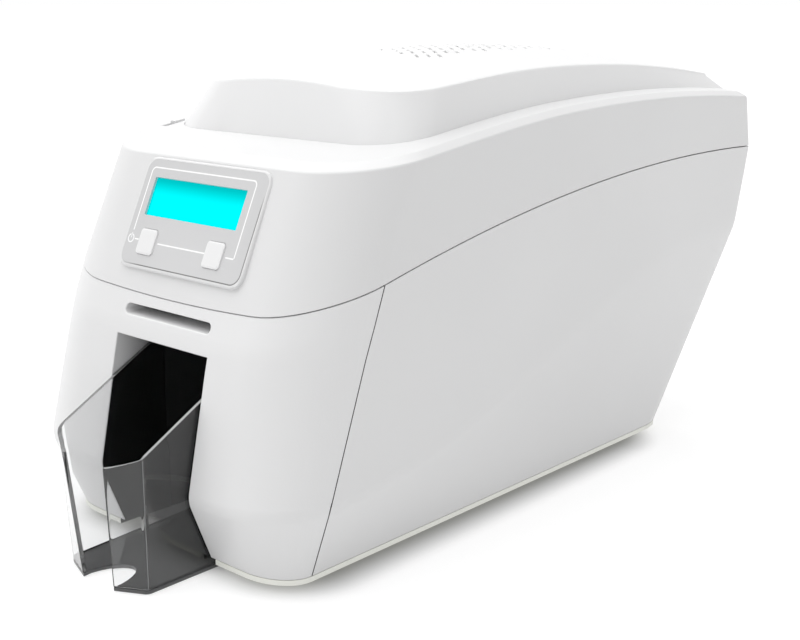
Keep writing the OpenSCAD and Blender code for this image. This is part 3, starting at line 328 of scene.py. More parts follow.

# %% [markdown]
# ## One finish for each material slot
# The record lists what every piece is made of. A finish could be made piece by piece, but pieces of
# one stock look alike, so each slot gets one finish. The white of the lid, front and sides is one
# moulded plastic, set a little darker on the sides and darker still on the lid; the base edge is warmer.

# %% The finishes
WHITE = (0.775, 0.775, 0.778)
finishes = {
    "bezel_plastic": moulded("bezel_white", WHITE, 0.36),
    "case_plastic": moulded("case_white", shade(WHITE, 0.985), 0.38),
    "lid_plastic": moulded("lid_white", shade(WHITE, 0.96), 0.34),
    "base_plastic": moulded("base_cream", (0.93, 0.935, 0.87), 0.5),
    "foot_rubber": rubber("foot_rubber", (0.03, 0.03, 0.03)),
    "recess_plastic": moulded("recess_grey", (0.045, 0.046, 0.05), 0.55, depth=0.05),
    "liner_plastic": moulded("liner_black", (0.05, 0.05, 0.052), 0.5, depth=0.04),
    "steel_plate": rolled_steel("plated_sheet", (0.60, 0.61, 0.63)),
    "bright_steel": turned("turned_steel", (0.70, 0.71, 0.73)),
    "bronze": turned("bronze", (0.62, 0.42, 0.20), 0.35),
    "motor_case": coated("motor_coat", (0.22, 0.225, 0.235), 0.4),
    "circuit_board": circuit("circuit_green", (0.015, 0.10, 0.035)),
    "standoff_metal": turned("standoff_metal", (0.75, 0.76, 0.78)),
    "supply_cage": rolled_steel("supply_cage", (0.52, 0.53, 0.55), 0.4),
    "socket_plastic": moulded("socket_black", (0.01, 0.01, 0.011), 0.42),
    "socket_metal": rolled_steel("socket_shell", (0.66, 0.67, 0.70), 0.38),
    "dark_steel": coated("dark_coat", (0.035, 0.037, 0.04), 0.4),
    "ribbon_colour": moulded("ribbon_dye", (0.25, 0.02, 0.15), 0.22, tone=0.2),
    "ribbon_used": moulded("ribbon_spent", (0.05, 0.035, 0.09), 0.25, tone=0.3),
    "roller_rubber": rubber("roller_rubber", (0.03, 0.031, 0.034)),
    "gear_plastic": moulded("gear_natural", (0.72, 0.69, 0.60), 0.35),
    "spool_plastic": moulded("spool_grey", (0.09, 0.095, 0.10), 0.45),
    "switch_plastic": moulded("switch_black", (0.012, 0.012, 0.013), 0.25),
    "module_plastic": moulded("module_grey", (0.03, 0.031, 0.034), 0.5),
    "head_metal": rolled_steel("head_metal", (0.42, 0.43, 0.45), 0.35),
    "fan_black": moulded("fan_black", (0.012, 0.012, 0.012), 0.5),
    "fan_dark": moulded("fan_dark", (0.02, 0.02, 0.022), 0.4),
    "release_plastic": moulded("release_white", WHITE, 0.4),
    "button_white": moulded("button_white", shade(WHITE, 1.05), 0.3),
}
print(len(finishes), "finishes")

# %% [markdown]
# ## The hopper's clear plastic
# The hopper is a clear moulding with a smoke-grey tint. Light crosses each wall twice, so the tint
# is weak, and the fine ripple of the mould bends what shows through it a little. Plain transparency
# would be quicker to render, but it would not bend what is behind it. The rims have a cloudier
# finish, because a moulded edge scatters light along its thickness. A darker copy of that finish is
# painted shade on the left wall's rims and the floor's edges, and a whiter copy is painted light on
# the left wall's fold. The floor's plastic is a far darker copy of the smoke, painted shade.

# %% Clear smoke
CLEAR_BENDS = 1.49


def clear(name, tint):
    """Clear plastic of one tint, with the mould's slow ripple."""
    paint = Paint(name)
    body = paint.blend(paint.noise(8, 1), shade(tint, 0.98), tint)
    paint.feed(Base_Color=body, Roughness=0.02, IOR=CLEAR_BENDS, Transmission_Weight=1.0)
    return paint.bump(paint.noise(30, 1), 0.02)


def clear_edge(name, dark, light):
    """The same plastic seen along its thickness: half clouded."""
    paint = Paint(name)
    cloud = paint.blend(paint.noise(200, 1), dark, light)
    return paint.feed(Base_Color=cloud, Roughness=0.12, IOR=CLEAR_BENDS, Transmission_Weight=0.35)


smoke = clear("clear_smoke", (0.89, 0.894, 0.898))
# Painted shade: the floor's plastic is a far darker copy of the smoke.
shaded_floor_smoke = clear("smoke_floor_painted_shade", (0.04, 0.041, 0.042))
shaded_floor_smoke.feed(Specular_IOR_Level=0.2)
pale_rim = clear_edge("smoke_rim", (0.34, 0.345, 0.35), (0.42, 0.425, 0.43))
# Painted shade: a darker copy of the rim finish, for the left wall's rims and the floor's edges.
shaded_rim = clear_edge("smoke_rim_painted_shade", (0.10, 0.102, 0.104), (0.16, 0.162, 0.164))
# Painted light: a whiter copy of the rim finish, for the left wall's fold.
lit_rim = clear_edge("smoke_rim_painted_light", (0.88, 0.885, 0.89), (0.95, 0.952, 0.955))
finishes["clear_smoke"] = smoke
print("clear smoke ready")

# %% [markdown]
# ## Painted shade in the mouth
# The sides of the hopper's mouth are painted dark up to the hopper's rim, as painted shade, so the
# black chamber seems to begin at the bezel. A thin dark sheet could stand there, but the shade has
# no edge that shows, so it is painted into the finish of the bezel and of the pan below it. Above
# the rim the painted shade only deepens towards the back.

# %% Painted shade in the bezel and pan
MOUTH_HALF, MOUTH_TOP, PAN_CUT_HALF = 34.9, 107.4, 38.4
LINER_BEHIND_FACE = 24.3
SHADE_LINE_AT_FACE, SHADE_LINE_RISE, SHADE_LINE_FADE = 89.2, 0.548, 2.2
SHADE_DEEPENS_OVER, SHADE_AT_BACK = (-5, 25), 0.8
PAN_SHADE_END = (60, 58)
MOUTH_PAINTED_SHADE = (0.02, 0.02, 0.021)


def within(distance, limit):
    """1 up to a limit and 0 past it, with a hair's breadth between."""
    return distance.step(limit + 0.02, limit - 0.02)


def paint_shade_over(paint, mask):
    """Paints shade over the masked part of a finish."""
    body = Wire(paint.tree, paint.shader.inputs["Base Color"].links[0].from_socket)
    paint.feed(Base_Color=paint.blend(mask, body, MOUTH_PAINTED_SHADE))


face_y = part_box("hopper_liner")[0].y / MM - LINER_BEHIND_FACE
bezel = finishes["bezel_plastic"]
x, y, z = bezel.axes(bezel.here())
rim_line = (y - face_y) * SHADE_LINE_RISE + SHADE_LINE_AT_FACE
below_rim = ((z - rim_line) / SHADE_LINE_FADE).step(1.0, 0.0)
towards_back = (y - face_y).step(*SHADE_DEEPENS_OVER) * SHADE_AT_BACK
in_mouth = within(abs(x), MOUTH_HALF + 0.05) * within(z, MOUTH_TOP - 0.05)
# Painted shade on the jambs below the hopper's rim, deepening towards the back.
paint_shade_over(bezel, in_mouth * below_rim.at_least(towards_back))

pan = finishes["base_plastic"]
x, y, _ = pan.axes(pan.here())
# Painted shade in the pan's cut behind the mouth.
paint_shade_over(pan, within(abs(x), PAN_CUT_HALF + 0.1) * (y - face_y).step(*PAN_SHADE_END))
print("mouth lined")

# %% [markdown]
# ## The printed panel face
# The panel's face is one grey film with fine white lines printed on it: a frame round the display
# that runs down to both buttons, a line that joins them, and a plain power sign. Ink could be cut
# out as thin shapes, but it has no thickness worth modelling. So each line is a distance formula in
# the panel's own plane, in millimetres from its middle.

# %% Panel plane and its formulas
PANEL_TILT = math.radians(25.1)
FACE_THICK, FACE_ROUND = 0.8, 6.0
INK_BLUR = 0.08
panel_low, panel_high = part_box("panel_face")
panel_out = Vector((0, -math.cos(PANEL_TILT), math.sin(PANEL_TILT)))
panel_up = Vector((0, math.sin(PANEL_TILT), math.cos(PANEL_TILT)))
panel_middle = (panel_low + panel_high) / 2 + panel_out * (FACE_THICK * MM / 2)
face_size = (panel_high - panel_low) / MM
face_slope = face_size.z / math.cos(PANEL_TILT) - FACE_THICK * math.tan(PANEL_TILT)
FACE_HALF = (face_size.x / 2, face_slope / 2)


def panel_axes(paint):
    """Across and up the panel, in millimetres from its middle."""
    across, up, _ = paint.axes(paint.place(panel_middle, (math.pi / 2 - PANEL_TILT, 0, 0)))
    return across, up


def rounded_box(x, y, middle, size, radius):
    """Signed distance to a rounded rectangle."""
    dx = abs(x - middle[0]) - (size[0] / 2 - radius)
    dy = abs(y - middle[1]) - (size[1] / 2 - radius)
    outside = (dx.at_least(0) ** 2 + dy.at_least(0) ** 2) ** 0.5
    return outside + dx.at_least(dy).at_most(0) - radius


def bar(x, y, start, end, width):
    """1 on a straight line along x or y between two points, and 0 off it."""
    middle = [(a + b) / 2 for a, b in zip(start, end)]
    size = [abs(a - b) + width for a, b in zip(start, end)]
    return rounded_box(x, y, middle, size, width / 2).step(INK_BLUR, -INK_BLUR)


print("panel middle", tuple(round(v, 4) for v in panel_middle))

# %% Printed lines
LINE = 0.75
FRAME_LEFT, FRAME_RIGHT, FRAME_TOP, FRAME_FOOT = -41.6, 37.6, 23.4, -10.3
FRAME_TALL, FRAME_ROUND = 60, 2.5
BUTTON_V = -15.2
POWER = (-41.8, -14.7)
LINKS = (((-19.7, BUTTON_V), (16.4, BUTTON_V)),
         ((31.8, BUTTON_V), (37.0, BUTTON_V)),
         ((FRAME_RIGHT, -10.2), (FRAME_RIGHT, -14.6)),
         ((-38.4, POWER[1]), (-35.9, POWER[1])))

film = Paint("panel_film")
u, v = panel_axes(film)
frame_middle = ((FRAME_LEFT + FRAME_RIGHT) / 2, FRAME_TOP - FRAME_TALL / 2)
frame_size = (FRAME_RIGHT - FRAME_LEFT, FRAME_TALL)
hoop = abs(rounded_box(u, v, frame_middle, frame_size, FRAME_ROUND))
hoop_line = hoop.step(LINE / 2 + INK_BLUR, LINE / 2 - INK_BLUR)
white_ink = hoop_line * v.step(FRAME_FOOT - 0.1, FRAME_FOOT + 0.1)
for start, end in LINKS:
    white_ink = white_ink.at_least(bar(u, v, start, end, LINE))
print("frame and", len(LINKS), "links printed")

# %% Power sign
SIGN_RADIUS, SIGN_EDGE = 2.1, (0.42, 0.26)
SIGN_GAP, SIGN_STROKE = (1, 4, 1.5), (0.3, 2.7, 0.5)


def over_sign(low, high, width):
    """An upright bar above the middle of the power sign."""
    return bar(u, v, (POWER[0], POWER[1] + low), (POWER[0], POWER[1] + high), width)


from_sign = ((u - POWER[0]) ** 2 + (v - POWER[1]) ** 2) ** 0.5
ring = abs(from_sign - SIGN_RADIUS).step(*SIGN_EDGE) * (1 - over_sign(*SIGN_GAP))
sign = ring.at_least(over_sign(*SIGN_STROKE))
print("power sign at", POWER)

# %% Panel film
FILM_DARK, FILM_LIGHT = (0.585, 0.585, 0.59), (0.615, 0.615, 0.62)
# Painted shade: a thin dark edge round the film, stronger towards its lower right, where the film's edge
# is in shade.
EDGE_SHADE_TONE, EDGE_SHADE_BAND, EDGE_SHADE_LOW_RIGHT = (0.2, 0.2, 0.2), (-0.75, -0.35), (4, 14)
LINE_INK, SIGN_INK = (0.95, 0.95, 0.95), (0.92, 0.92, 0.93)
grey = film.blend(film.noise(12, 1).step(0.3, 0.7), FILM_DARK, FILM_LIGHT)
face = rounded_box(u, v, (0, 0), (2 * FACE_HALF[0], 2 * FACE_HALF[1]), FACE_ROUND)
film_edge_shade = face.step(*EDGE_SHADE_BAND) * (u * 0.5 - v).step(*EDGE_SHADE_LOW_RIGHT)
shaded_film = film.blend(film_edge_shade, grey, EDGE_SHADE_TONE)
inked = film.blend(white_ink, shaded_film, LINE_INK)
fine = film.noise(1400, 1)
film.feed(Base_Color=film.blend(sign, inked, SIGN_INK), Roughness=uneven(fine, 0.47, 0.1))
film.bump(fine, 0.01)
finishes["panel_grey"] = film
print("panel film ready")

# %% [markdown]
# ## The lit display
# The window glows an even cyan. A lamp behind a tinted sheet would light it as in the real module,
# but it would need many samples to come out clean, so the lens glows by itself. A soft falloff
# towards its top, left and lower edges stands for the shade that the recess throws on it.

# %% Display
SHADE_TOP, SHADE_LEFT, SHADE_FOOT = (18.6, 9.2), (-37.6, -35.2), (-2.0, -1.0)
display = Paint("display_cyan")
u, v = panel_axes(display)
open_glow = v.step(*SHADE_TOP) * u.step(*SHADE_LEFT) * v.step(*SHADE_FOOT)
lit = display.blend(open_glow, (0.0, 0.55, 0.56), (0.0, 0.97, 1.0))
glass = display.blend(display.noise(25, 1), (0.0, 0.02, 0.022), (0.0, 0.04, 0.042))
display.feed(Base_Color=glass, Roughness=uneven(display.noise(300, 1), 0.52, 0.04))
display.feed(Specular_IOR_Level=0.0, Emission_Color=lit, Emission_Strength=1.0)
finishes["display_cyan"] = display
print("display ready")

# %% [markdown]
# ## Dress the solids
# Every solid takes the finish of its slot. Round parts are shaded smooth and flat parts keep their
# edges. More facets would round the cylinders too, but the solids are fixed, so they are shaded
# smooth wherever they turn by less than an angle.

# %% Dress every node
def only(*objects):
    """Selects these objects and nothing else."""
    bpy.ops.object.select_all(action="DESELECT")
    for item in objects:
        item.select_set(True)
    bpy.context.view_layer.objects.active = objects[-1]


def dress(piece, paint):
    piece.data.materials.clear()
    piece.data.materials.append(paint.material)


def smooth(piece, degrees=30):
    only(piece)
    bpy.ops.object.shade_smooth_by_angle(angle=math.radians(degrees))


for name, node in nodes.items():
    dress(node, finishes[slot_of[name]])
    smooth(node)
print("dressed", len(nodes), "solids")

# %% [markdown]
# ## Moulded skins with rounded edges
# A moulded part has no sharp edge. Each casing part could be drawn again by hand, but its openings
# and seams are exact already. So it is copied from its solid, the triangles of the copy are joined
# into one skin, and its edges are bevelled: broadly along the crease of the side walls, less along
# the lid's edges, and just enough to catch the light everywhere else.

# %% Copies
def skin_of(name, flat):
    """A new piece that stands for a node, with faces merged that turn less than flat degrees."""
    piece = bpy.data.objects.new(name + "_skin", nodes[name].data.copy())
    bpy.context.scene.collection.objects.link(piece)
    only(piece)
    bpy.ops.object.mode_set(mode="EDIT")
    bpy.ops.mesh.select_all(action="SELECT")
    bpy.ops.mesh.remove_doubles(threshold=0.005 * MM)
    if flat:
        bpy.ops.mesh.dissolve_limited(angle_limit=math.radians(flat))
    bpy.ops.mesh.tris_convert_to_quads(face_threshold=math.radians(15), shape_threshold=math.radians(50))
    bpy.ops.mesh.customdata_custom_splitnormals_clear()
    bpy.ops.object.mode_set(mode="OBJECT")
    dress(piece, finishes[slot_of[name]])
    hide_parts(name)
    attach(piece, nodes[name]["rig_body"])
    return piece


SKINNED = ("front_bezel", "left_side_cover", "right_side_cover", "rear_cover",
           "cover_shell", "dome_cover", "base_pan")
MERGED_TO = {"front_bezel": 0.4}
skins = {name: skin_of(name, MERGED_TO.get(name, 0)) for name in SKINNED}
print(len(skins), "skins")

# %% Bevels and shading
def round_edges(piece, width, segments, pick):
    """Bevels the outward edges for which pick(middle, degrees, direction) is true; width in mm."""
    only(piece)
    bpy.ops.object.mode_set(mode="EDIT")
    bpy.ops.mesh.select_mode(type="EDGE")
    bpy.ops.mesh.select_all(action="DESELECT")
    mesh = bmesh.from_edit_mesh(piece.data)
    chosen = 0
    for edge in mesh.edges:
        if len(edge.link_faces) != 2 or not edge.is_convex:
            continue
        start, end = (corner.co for corner in edge.verts)
        if pick((start + end) / 2 / MM, math.degrees(edge.calc_face_angle()), (end - start).normalized()):
            edge.select = True
            chosen += 1
    bmesh.update_edit_mesh(piece.data)
    if chosen:
        bpy.ops.mesh.bevel(offset=width * MM, segments=segments, affect="EDGES", clamp_overlap=False)
    bpy.ops.object.mode_set(mode="OBJECT")
    return chosen


def even_shading(piece, degrees=35):
    """Smooth shading that large faces steer, so that a bevel alone turns the light."""
    smooth(piece, degrees)
    only(piece)
    weights = piece.modifiers.new("weights", "WEIGHTED_NORMAL")
    weights.keep_sharp = True
    bpy.ops.object.modifier_apply(modifier=weights.name)


print("edge tools ready")

# %% Casing
CREASE_SOFT, RIM_SOFT, MOUTH_SOFT = 4.0, 0.2, 0.6
CREASE_LOW, CREASE_HIGH, CREASE_TURN = 38, 138, (5, 45)
FOOT_GAP = (4.5, 14)
LIP_DEEP = 4
SHARP, SQUARE = 60, 70


def on_crease(middle, degrees, direction):
    turns = CREASE_TURN[0] < degrees < CREASE_TURN[1] and abs(direction.z) < 0.6
    return turns and CREASE_LOW < middle.z < CREASE_HIGH


def on_mouth(middle, degrees, direction):
    round_mouth = abs(middle.x) < MOUTH_HALF + 0.1 and middle.y < face_y + LIP_DEEP
    return degrees > SHARP and round_mouth and middle.z > FOOT_GAP[1]


def on_rim(middle, degrees, direction):
    """Every sharp edge but those in the gap above the base edge, which are too near each other."""
    return degrees > SHARP and not FOOT_GAP[0] < middle.z < FOOT_GAP[1]


def on_bezel_rim(middle, degrees, direction):
    return on_rim(middle, degrees, direction) and abs(middle.x) > MOUTH_HALF + 1


for name in ("front_bezel", "left_side_cover", "right_side_cover"):
    print(name, "crease edges", round_edges(skins[name], CREASE_SOFT, 4, on_crease))
print("mouth edges", round_edges(skins["front_bezel"], MOUTH_SOFT, 3, on_mouth))
for name in ("front_bezel", "left_side_cover", "right_side_cover", "rear_cover", "base_pan"):
    pick = on_bezel_rim if name == "front_bezel" else on_rim
    print(name, "rim edges", round_edges(skins[name], RIM_SOFT, 2, pick))
    even_shading(skins[name])

# %% [markdown]
# ## Seams between the mouldings
# The front moulding meets each side cover in a narrow seam. Its flanks are white plastic like the
# rest, but light hardly reaches them, so the seam shows as a fine dark line. A deeper groove would
# shade itself more, but the solids fix its size, so the facing flanks get a darker finish.

# %% Seam flanks
SEAM_OUTSIDE, SEAM_FACING = 60, 0.45
seam_dark = moulded("seam_shadow", (0.2, 0.2, 0.203), 0.6)


def second_finish(skin, paint, pick):
    """Another finish for the faces for which pick(middle, normal) is true."""
    skin.data.materials.append(paint.material)
    chosen = [face for face in skin.data.polygons if pick(face.center / MM, face.normal)]
    for face in chosen:
        face.material_index = 1
    return len(chosen)


def on_seam(facing):
    """Picks flanks of the front seams that face backwards (1) or forwards (-1)."""
    def pick(middle, normal):
        return normal.y * facing > SEAM_FACING and middle.y < 0 and abs(middle.x) > SEAM_OUTSIDE

    return pick


for name, facing in (("front_bezel", 1), ("left_side_cover", -1), ("right_side_cover", -1)):
    print(name, "seam faces", second_finish(skins[name], seam_dark, on_seam(facing)))

# %% [markdown]
# ## The top cover
# The cover is a lower ring with a sloping plinth for the panel, and a domed lid on it. The rims of
# the plinth, the ring and the release's slot are rounded by about 1 mm, and the edges of the band
# round the ring by half of that. One bevel for all would melt the small forms into blobs, so each
# kind of edge is picked by its place and by how sharply it turns.

# %% Edges of the ring and the plinth
LID_EDGE_SOFT, BAND_SOFT, PLINTH_SOFT, SLIDER_SOFT = 0.9, 0.5, 1.0, 0.8
RING_FOOT = 184
BAND_TURN, LID_TURN = (15, 31), (31, 75)
PLINTH_HALF = (52, 30)
SLIDER_SLOT, SLIDER_REACH = Vector((-86.5, -93.5, 203.5)), (4, 11, 3)


def on_panel(middle):
    """A point given in millimetres, seen in the panel's plane: across, up and out of it."""
    away = middle - panel_middle / MM
    return away.x, away.dot(panel_up), away.dot(panel_out)


def on_plinth_rim(middle, degrees, direction):
    across, up, out = on_panel(middle)
    outside = abs(across) > FACE_HALF[0] + 1 or abs(up) > FACE_HALF[1] + 1
    return degrees > SQUARE and abs(out) < 0.05 and outside


def off_panel(middle):
    across, up, out = on_panel(middle)
    return abs(across) > PLINTH_HALF[0] or abs(up) > PLINTH_HALF[1] or out < -1


def on_band(middle, degrees, direction):
    return BAND_TURN[0] < degrees < BAND_TURN[1] and middle.z > RING_FOOT and off_panel(middle)


def on_lid_edge(middle, degrees, direction):
    turns = LID_TURN[0] < degrees < LID_TURN[1] and abs(direction.z) < 0.5
    return turns and middle.z > RING_FOOT and off_panel(middle)


def on_ring_foot(middle, degrees, direction):
    return degrees > SQUARE and middle.z < RING_FOOT and off_panel(middle)


def on_slider_slot(middle, degrees, direction):
    away = middle - SLIDER_SLOT
    return degrees > SQUARE and all(abs(a) < reach for a, reach in zip(away, SLIDER_REACH))


lid = skins["cover_shell"]
print("plinth edges", round_edges(lid, PLINTH_SOFT, 3, on_plinth_rim))
print("band edges", round_edges(lid, BAND_SOFT, 2, on_band))
print("lid edges", round_edges(lid, LID_EDGE_SOFT, 4, on_lid_edge))
print("rim edges", round_edges(lid, RIM_SOFT, 2, on_ring_foot))
print("slider slot edges", round_edges(lid, SLIDER_SOFT, 3, on_slider_slot))
even_shading(lid)

# %% [markdown]
# ## The dome and its slots
# The dome has a field of small slots that let the fan's air through. They are seen almost edge on,
# so hardly more than their lit lips shows. A stronger light on them would wash out the whole lid,
# so the lips are rounded to catch the light, and the flanks below them are painted whiter: painted
# light where little light reaches them.

# %% Dome
DOME_FIELD = 225
VENT_SOFT, VENT_EDGE, VENT_REACH, VENT_AHEAD = 0.55, 36, (88, 72), 47
FLANK_TILT = 0.85
fan_middle = sum(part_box("fan_frame"), Vector()) / 2 / MM


def on_vent_lip(middle, degrees, direction):
    return degrees > SHARP and middle.z > DOME_FIELD


def in_vent(middle, normal):
    across = VENT_EDGE - VENT_REACH[0] < middle.x < VENT_EDGE
    along = abs(middle.y - fan_middle.y + VENT_AHEAD) < VENT_REACH[1]
    return abs(normal.z) < FLANK_TILT and middle.z > DOME_FIELD and across and along


dome = skins["dome_cover"]
print("vent edges", round_edges(dome, VENT_SOFT, 2, on_vent_lip))
even_shading(dome)
# The dome takes a slightly lighter copy of the lid's white.
dress(dome, moulded("dome_white", shade(WHITE, 1.04), 0.34))
# Painted light: the vents' flanks take a whiter copy of the white.
print("vent faces", second_finish(dome, moulded("vent_painted_light", (0.98, 0.98, 0.98), 0.4), in_vent))

# %% [markdown]
# ## The clear hopper
# The hopper's side walls lean and turn in to two free lips, with a rounded corner between. Such a
# wall could be bent from a flat sheet, but its lean changes on the way. So each wall is a grid laid
# along its plan line, given its thickness by Solidify. The rims and folds are finished apart from
# the faces, because an edge that scatters light shows as a line of its own. On the left wall the
# rims are painted shade and the fold is painted light.

# %% Plan lines of the hopper
HOPPER_LOW, HOPPER_HIGH = (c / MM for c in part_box("hopper"))
HOPPER_WALL, HOPPER_FLOOR, FLOOR_PLAY = 2.0, 2.0, 0.05
HALF_WIDE = HOPPER_HIGH.x
NOSE, BACK = HOPPER_LOW.y + 0.6, HOPPER_HIGH.y
CORNER_Y = NOSE + 9.4
CORNER_TOP, LIP_DROP, RISE, RISE_RUN = 67.4, 6, 0.548, 58
CORNER_ROUND = {1: 2.2, -1: 5.0}
TURN_STARTS, TURN_ENDS = 0.5, 0.75
SIDES = {
    1: {"low": [(HALF_WIDE, BACK), (HALF_WIDE - 0.4, CORNER_Y), (18.3, NOSE + 1)],
        "high": [(HALF_WIDE, BACK), (HALF_WIDE, CORNER_Y), (16.2, NOSE)]},
    -1: {"low": [(-HALF_WIDE, BACK), (-HALF_WIDE + 8, CORNER_Y - 1.5), (-5, NOSE + 0.4)],
         "high": [(-HALF_WIDE, BACK), (-HALF_WIDE, CORNER_Y), (-17, NOSE)]},
}
wall_foot = HOPPER_LOW.z + HOPPER_FLOOR + FLOOR_PLAY


def rounded_path(side, level, share):
    """The point at a share (0 to 1) of a side's plan line: two straight runs and a round corner."""
    start, corner, end = (Vector((*p, 0)) for p in SIDES[side][level])
    before = corner + (start - corner).normalized() * CORNER_ROUND[side]
    after = corner + (end - corner).normalized() * CORNER_ROUND[side]
    if share < TURN_STARTS:
        return start.lerp(before, share / TURN_STARTS)
    if share > TURN_ENDS:
        return after.lerp(end, (share - TURN_ENDS) / (1 - TURN_ENDS))
    bend = (share - TURN_STARTS) / (TURN_ENDS - TURN_STARTS)
    return before.lerp(corner, bend).lerp(corner.lerp(after, bend), bend)


def wall_top(y):
    """Height of the wall's rim: low at the lip, soft over the corner, then rising to the back."""
    past_lip = min(1, max(0, (y - NOSE) / (CORNER_Y - NOSE)))
    rise = RISE * min(RISE_RUN, max(0, y - CORNER_Y))
    return CORNER_TOP - LIP_DROP * (1 - past_lip ** 1.3) + rise


print("hopper is", round(2 * HALF_WIDE, 1), "mm wide and", round(wall_top(BACK), 1), "mm high")

# %% Hopper walls
COLUMNS, ROWS = 48, 10
FOLD_TURNS = {1: (27, 33), -1: (124, 158)}
# The left wall's rims get the painted shade and its fold the painted light.
RIM_AND_FOLD = {1: (pale_rim, pale_rim), -1: (shaded_rim, lit_rim)}


def hopper_wall(side):
    bpy.ops.object.select_all(action="DESELECT")
    bpy.ops.mesh.primitive_grid_add(x_subdivisions=COLUMNS, y_subdivisions=ROWS, size=2)
    wall = bpy.context.object
    for corner in wall.data.vertices:
        along, up = (corner.co.x + 1) / 2, (corner.co.y + 1) / 2
        low, high = (rounded_path(side, level, along) for level in ("low", "high"))
        z = wall_foot + up * (wall_top(high.y) - wall_foot)
        place = low.lerp(high, min(1, z / CORNER_TOP))
        corner.co = (place.x * MM, place.y * MM, z * MM)
    thick = wall.modifiers.new("thickness", "SOLIDIFY")
    thick.thickness, thick.offset, thick.use_even_offset = HOPPER_WALL * MM, side, True
    bpy.ops.object.modifier_apply(modifier=thick.name)
    for paint in (smoke, *RIM_AND_FOLD[side]):
        wall.data.materials.append(paint.material)
    for face in wall.data.polygons:
        turn = math.degrees(math.atan2(-face.normal.y, face.normal.x))
        if face.normal.z > 0.5:
            face.material_index = 1
        elif abs(face.normal.z) < 0.3 and FOLD_TURNS[side][0] < turn < FOLD_TURNS[side][1]:
            face.material_index = 2
    return wall


walls = [hopper_wall(1), hopper_wall(-1)]
print("wall faces", [len(wall.data.polygons) for wall in walls])

# %% [markdown]
# ## The hopper's floor and back
# The floor follows both plan lines and has a finger notch at its front, where the last card is
# pinched out. A Boolean cut could take the notch out of a plate, but one outline drawn as a polygon
# and extruded gives cleaner faces. The floor's plastic is tinted far darker than the walls', as
# painted shade for the shadowed table under it and the dark chamber it mirrors. The back is a low
# plain plate.

# %% Hopper floor and back
NOTCH_AT, NOTCH_HALF, NOTCH_DEEP = (6, NOSE - 1), 12, 23
NOTCH_TURNS = range(8, 173, 12)
PATH_STEPS = 24
BACK_TOP, BACK_PLAY = 40, 0.1


def hopper_floor():
    angles = [math.radians(turn) for turn in NOTCH_TURNS]
    across, along = NOTCH_AT
    notch = [(across + NOTCH_HALF * math.cos(a), along + NOTCH_DEEP * math.sin(a)) for a in angles]
    shares = [i / PATH_STEPS for i in range(PATH_STEPS + 1)]
    right = [rounded_path(1, "low", share).to_2d() for share in shares]
    left = [rounded_path(-1, "low", share).to_2d() for share in reversed(shares)]
    outline = [*right, *notch, *left]
    bpy.ops.object.select_all(action="DESELECT")
    bpy.ops.mesh.primitive_circle_add(vertices=len(outline), fill_type="NGON")
    plate = bpy.context.object
    for corner, (x, y) in zip(plate.data.vertices, outline):
        corner.co = (x * MM, y * MM, HOPPER_LOW.z * MM)
    bpy.ops.object.mode_set(mode="EDIT")
    bpy.ops.mesh.select_all(action="SELECT")
    bpy.ops.mesh.extrude_region_move(TRANSFORM_OT_translate={"value": (0, 0, HOPPER_FLOOR * MM)})
    bpy.ops.mesh.select_all(action="SELECT")
    bpy.ops.mesh.normals_make_consistent(inside=False)
    bpy.ops.object.mode_set(mode="OBJECT")
    for paint in (shaded_floor_smoke, shaded_rim):
        plate.data.materials.append(paint.material)
    for face in plate.data.polygons:
        face.material_index = 1 if abs(face.normal.z) < 0.5 else 0
    return plate


def hopper_back():
    bpy.ops.object.select_all(action="DESELECT")
    half = HALF_WIDE - HOPPER_WALL - BACK_PLAY
    low = Vector((-half, BACK - HOPPER_WALL, wall_foot)) * MM
    high = Vector((half, BACK, BACK_TOP)) * MM
    bpy.ops.mesh.primitive_cube_add(size=1, location=(low + high) / 2, scale=high - low)
    bpy.ops.object.transform_apply()
    back = bpy.context.object
    back.data.materials.append(smoke.material)
    return back


parts = [*walls, hopper_floor(), hopper_back()]
print(len(parts), "hopper parts")

# %% One hopper
HOPPER_SOFT = 0.35
only(*parts[::-1])
bpy.ops.object.join()
hopper = bpy.context.object
hopper.name = "hopper_clear"
bevel = hopper.modifiers.new("soft edges", "BEVEL")
bevel.width, bevel.segments = HOPPER_SOFT * MM, 2
bevel.limit_method, bevel.angle_limit = "ANGLE", math.radians(50)
bpy.ops.object.modifier_apply(modifier=bevel.name)
even_shading(hopper, 40)
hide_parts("hopper")
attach(hopper, nodes["hopper"]["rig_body"])
print("hopper faces", len(hopper.data.polygons))

# %% [markdown]
# ## Button caps
# Each panel button is a soft pillow of white plastic that nearly fills its hole. A subdivided box
# would pull its corners in too far, so a plain box is bevelled twice: broadly at its four corners,
# then round its top edge.

# %% Button caps
CAP_GROW, CAP_ROUND, CAP_PILLOW, CAP_TOP = 0.2, 2.2, 1.1, 0.75
CAP_TALL, CAP_THICK = 13.1, 2.4
BUTTON_FLANGE = 1


def on_cap_corner(middle, degrees, direction):
    return abs(direction.z) > 0.9


def on_cap_top(middle, degrees, direction):
    return middle.z > CAP_THICK / 2 - 0.1 and abs(direction.z) < 0.1 and degrees > SHARP


